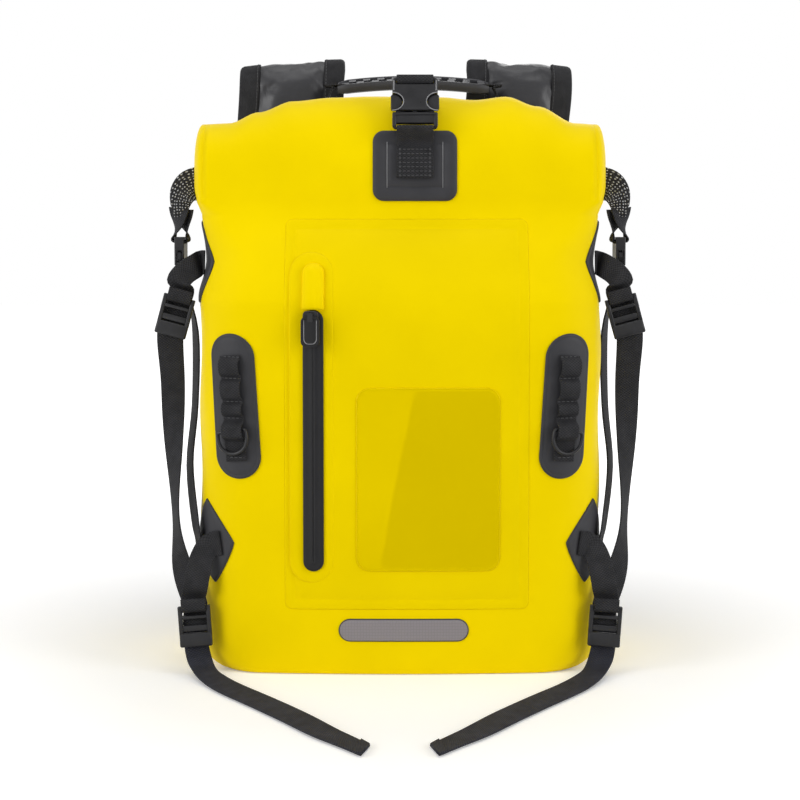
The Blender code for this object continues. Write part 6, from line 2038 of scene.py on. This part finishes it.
class BACKPACK_OT_stage(bpy.types.Operator):
    """Pale floor, soft lamps, white surroundings and the camera at the photograph's place"""

    bl_idname = "backpack.stage"
    bl_label = "Stage"

    FLOOR_SIZE = 12.0
    FLOOR_DROP = 0.0006
    LAMPS = (("key", (-2.0, -1.35, 0.95), 1.6, 27.5), ("fill", (2.1, -1.25, 0.90), 1.6, 27.0),
             ("top", (0.0, -0.35, 2.3), 1.8, 14.0), ("rear", (0.5, 2.1, 1.3), 1.6, 8.0))
    AIM = Vector((0.0, 0.0, 0.24))
    # Gloss edge on the window from its top to its bottom: place along X and height, and its bow
    GLOSS_EDGE = ((0.0129, 0.2344), (-0.0158, 0.0850))
    GLOSS_BOW = -0.0016
    FLAG_HEIGHT = 0.002
    FLAG_REACH = 1.20
    CAMERA_PLACE = (0.0, -1.5196, 0.3706)
    CAMERA_PITCH = math.radians(3.264)
    CAMERA_SHIFT = -0.10
    CAMERA_LENS = 80.26
    SENSOR = 36.0
    CLIP_END = 100.0
    FLAG_STEPS = 20
    WORLD_FILL = 0.26
    GLOW = (0.22, 1.0)
    GLOW_REACH = (0.25, 1.1)

    def add_floor(self):
        half = self.FLOOR_SIZE / 2
        bm = bmesh.new()
        corners = ((-half, -half), (half, -half), (half, half), (-half, half))
        bm.faces.new([bm.verts.new((x, y, -self.FLOOR_DROP)) for x, y in corners])
        look = Look("floor_paper_white")
        reach = look.add("VectorMath", {0: look.place}, operation="LENGTH").outputs["Value"]
        sweep = look.add("MapRange", {"Value": reach, "From Min": self.GLOW_REACH[0], "From Max": self.GLOW_REACH[1],
                                      "To Min": self.GLOW[0], "To Max": self.GLOW[1]})
        fibre = look.add("TexNoise", {"Scale": 60.0, "Detail": 2.0})
        tones = ((0.0, linear("F4F4F4")), (1.0, linear("F8F8F8")))
        material = look.finish({
            "Base Color": look.add("ValToRGB", {"Fac": fibre}, stops=tones), "Roughness": 0.9,
            "Specular IOR Level": 0.0, "Emission Color": WHITE,
            "Emission Strength": look.add("Math", {0: seen_rays(look.tree), 1: sweep}, operation="MULTIPLY")})
        floor = finish_mesh("floor", bm, material, smooth=False)

    def mirrored_spot(self, x, z):
        """Place on the flag's level that the camera sees mirrored in the window."""
        point = skin(x, z)
        normal = (lifted(skin, x, z, 1.0) - point).normalized()
        ray = (point - Vector(self.CAMERA_PLACE)).reflect(normal)
        return point + ray * ((self.FLAG_HEIGHT - point.z) / ray.z)

    def add_flag(self):
        """Dark card in front of the view, seen only in reflections: it draws the gloss edge on the window."""
        bm = bmesh.new()
        high, low = (Vector((*end, 0.0)) for end in self.GLOSS_EDGE)
        spots = []
        for k in range(-1, self.FLAG_STEPS + 2):
            t = k / self.FLAG_STEPS
            spot = high.lerp(low, t)
            spots.append(self.mirrored_spot(spot.x + self.GLOSS_BOW * 4 * t * (1 - t), spot.y))
        spots += [Vector((self.FLAG_REACH, spot.y, spot.z)) for spot in (spots[-1], spots[0])]
        bm.faces.new([bm.verts.new(spot) for spot in spots])
        look = Look("studio_flag_black")
        nap = look.add("TexNoise", {"Scale": 40.0})
        tones = ((0.0, linear("060606")), (1.0, linear("101010")))
        material = look.finish({"Base Color": look.add("ValToRGB", {"Fac": nap}, stops=tones)})
        flag = finish_mesh("flag", bm, material, smooth=False)
        for ray in ("camera", "diffuse", "transmission", "volume_scatter", "shadow"):
            setattr(flag, "visible_" + ray, False)

    def add_world(self):
        world = bpy.data.worlds.new("studio_white")
        world.use_nodes = True
        tree = world.node_tree
        level = add_node(tree, "ShaderNodeMapRange", {"Value": seen_rays(tree), "To Min": self.WORLD_FILL,
                                                      "To Max": 1.0})
        connect(tree, tree.nodes["Background"], {"Color": WHITE, "Strength": level})
        bpy.context.scene.world = world

    def add_lamps(self):
        for name, place, size, power in self.LAMPS:
            lamp = bpy.data.lights.new(name, "AREA")
            lamp.shape = "DISK"
            lamp.size = size
            lamp.energy = power
            holder = bpy.data.objects.new(name, lamp)
            holder.location = place
            holder.rotation_mode = "QUATERNION"
            holder.rotation_quaternion = (self.AIM - holder.location).to_track_quat("-Z", "Y")
            bpy.context.scene.collection.objects.link(holder)

    def add_camera(self):
        lens = bpy.data.cameras.new("photo_view")
        lens.lens = self.CAMERA_LENS
        lens.sensor_width = self.SENSOR
        lens.shift_y = self.CAMERA_SHIFT
        lens.clip_end = self.CLIP_END
        camera = bpy.data.objects.new("photo_view", lens)
        camera.location = self.CAMERA_PLACE
        camera.rotation_euler = (math.pi / 2 - self.CAMERA_PITCH, 0.0, 0.0)
        bpy.context.scene.collection.objects.link(camera)
        bpy.context.scene.camera = camera

    def execute(self, context):
        self.add_floor()
        self.add_flag()
        self.add_world()
        self.add_lamps()
        self.add_camera()
        context.scene.view_settings.view_transform = "Standard"
        return {"FINISHED"}


OPERATORS = (BACKPACK_OT_stage, BACKPACK_OT_tails, BACKPACK_OT_bag, BACKPACK_OT_pocket, BACKPACK_OT_patches,
             BACKPACK_OT_straps, BACKPACK_OT_pads, BACKPACK_OT_stitches, BACKPACK_OT_handle, BACKPACK_OT_hardware)


class BACKPACK_PT_panel(bpy.types.Panel):
    """Sizes, colours and steps of the backpack"""

    bl_idname = "BACKPACK_PT_panel"
    bl_label = "Backpack"
    bl_space_type = "VIEW_3D"
    bl_region_type = "UI"
    bl_category = "Backpack"

    def draw(self, context):
        layout = self.layout
        for group in (context.scene.backpack_sizes, context.scene.backpack_colours):
            for name in group.bl_rna.properties.keys():
                if name not in ("rna_type", "name"):
                    layout.prop(group, name)
        for operator in OPERATORS:
            layout.operator(operator.bl_idname)


CLASSES = (BackpackColours, BackpackSizes, *OPERATORS, BACKPACK_PT_panel)


def register():
    for item in CLASSES:
        bpy.utils.register_class(item)
    bpy.types.Scene.backpack_colours = bpy.props.PointerProperty(type=BackpackColours)
    bpy.types.Scene.backpack_sizes = bpy.props.PointerProperty(type=BackpackSizes)


def unregister():
    del bpy.types.Scene.backpack_sizes
    del bpy.types.Scene.backpack_colours
    for item in reversed(CLASSES):
        bpy.utils.unregister_class(item)


def main():
    register()
    scene = bpy.context.scene
    make_finishes(scene.backpack_colours, scene.backpack_sizes)
    bpy.ops.backpack.stage()
    bpy.ops.backpack.tails()
    bpy.ops.backpack.bag()
    bpy.ops.backpack.pocket()
    bpy.ops.backpack.patches()
    bpy.ops.backpack.straps()
    bpy.ops.backpack.pads()
    bpy.ops.backpack.stitches()
    bpy.ops.backpack.handle()
    bpy.ops.backpack.hardware()


if __name__ == "__main__":
    main()
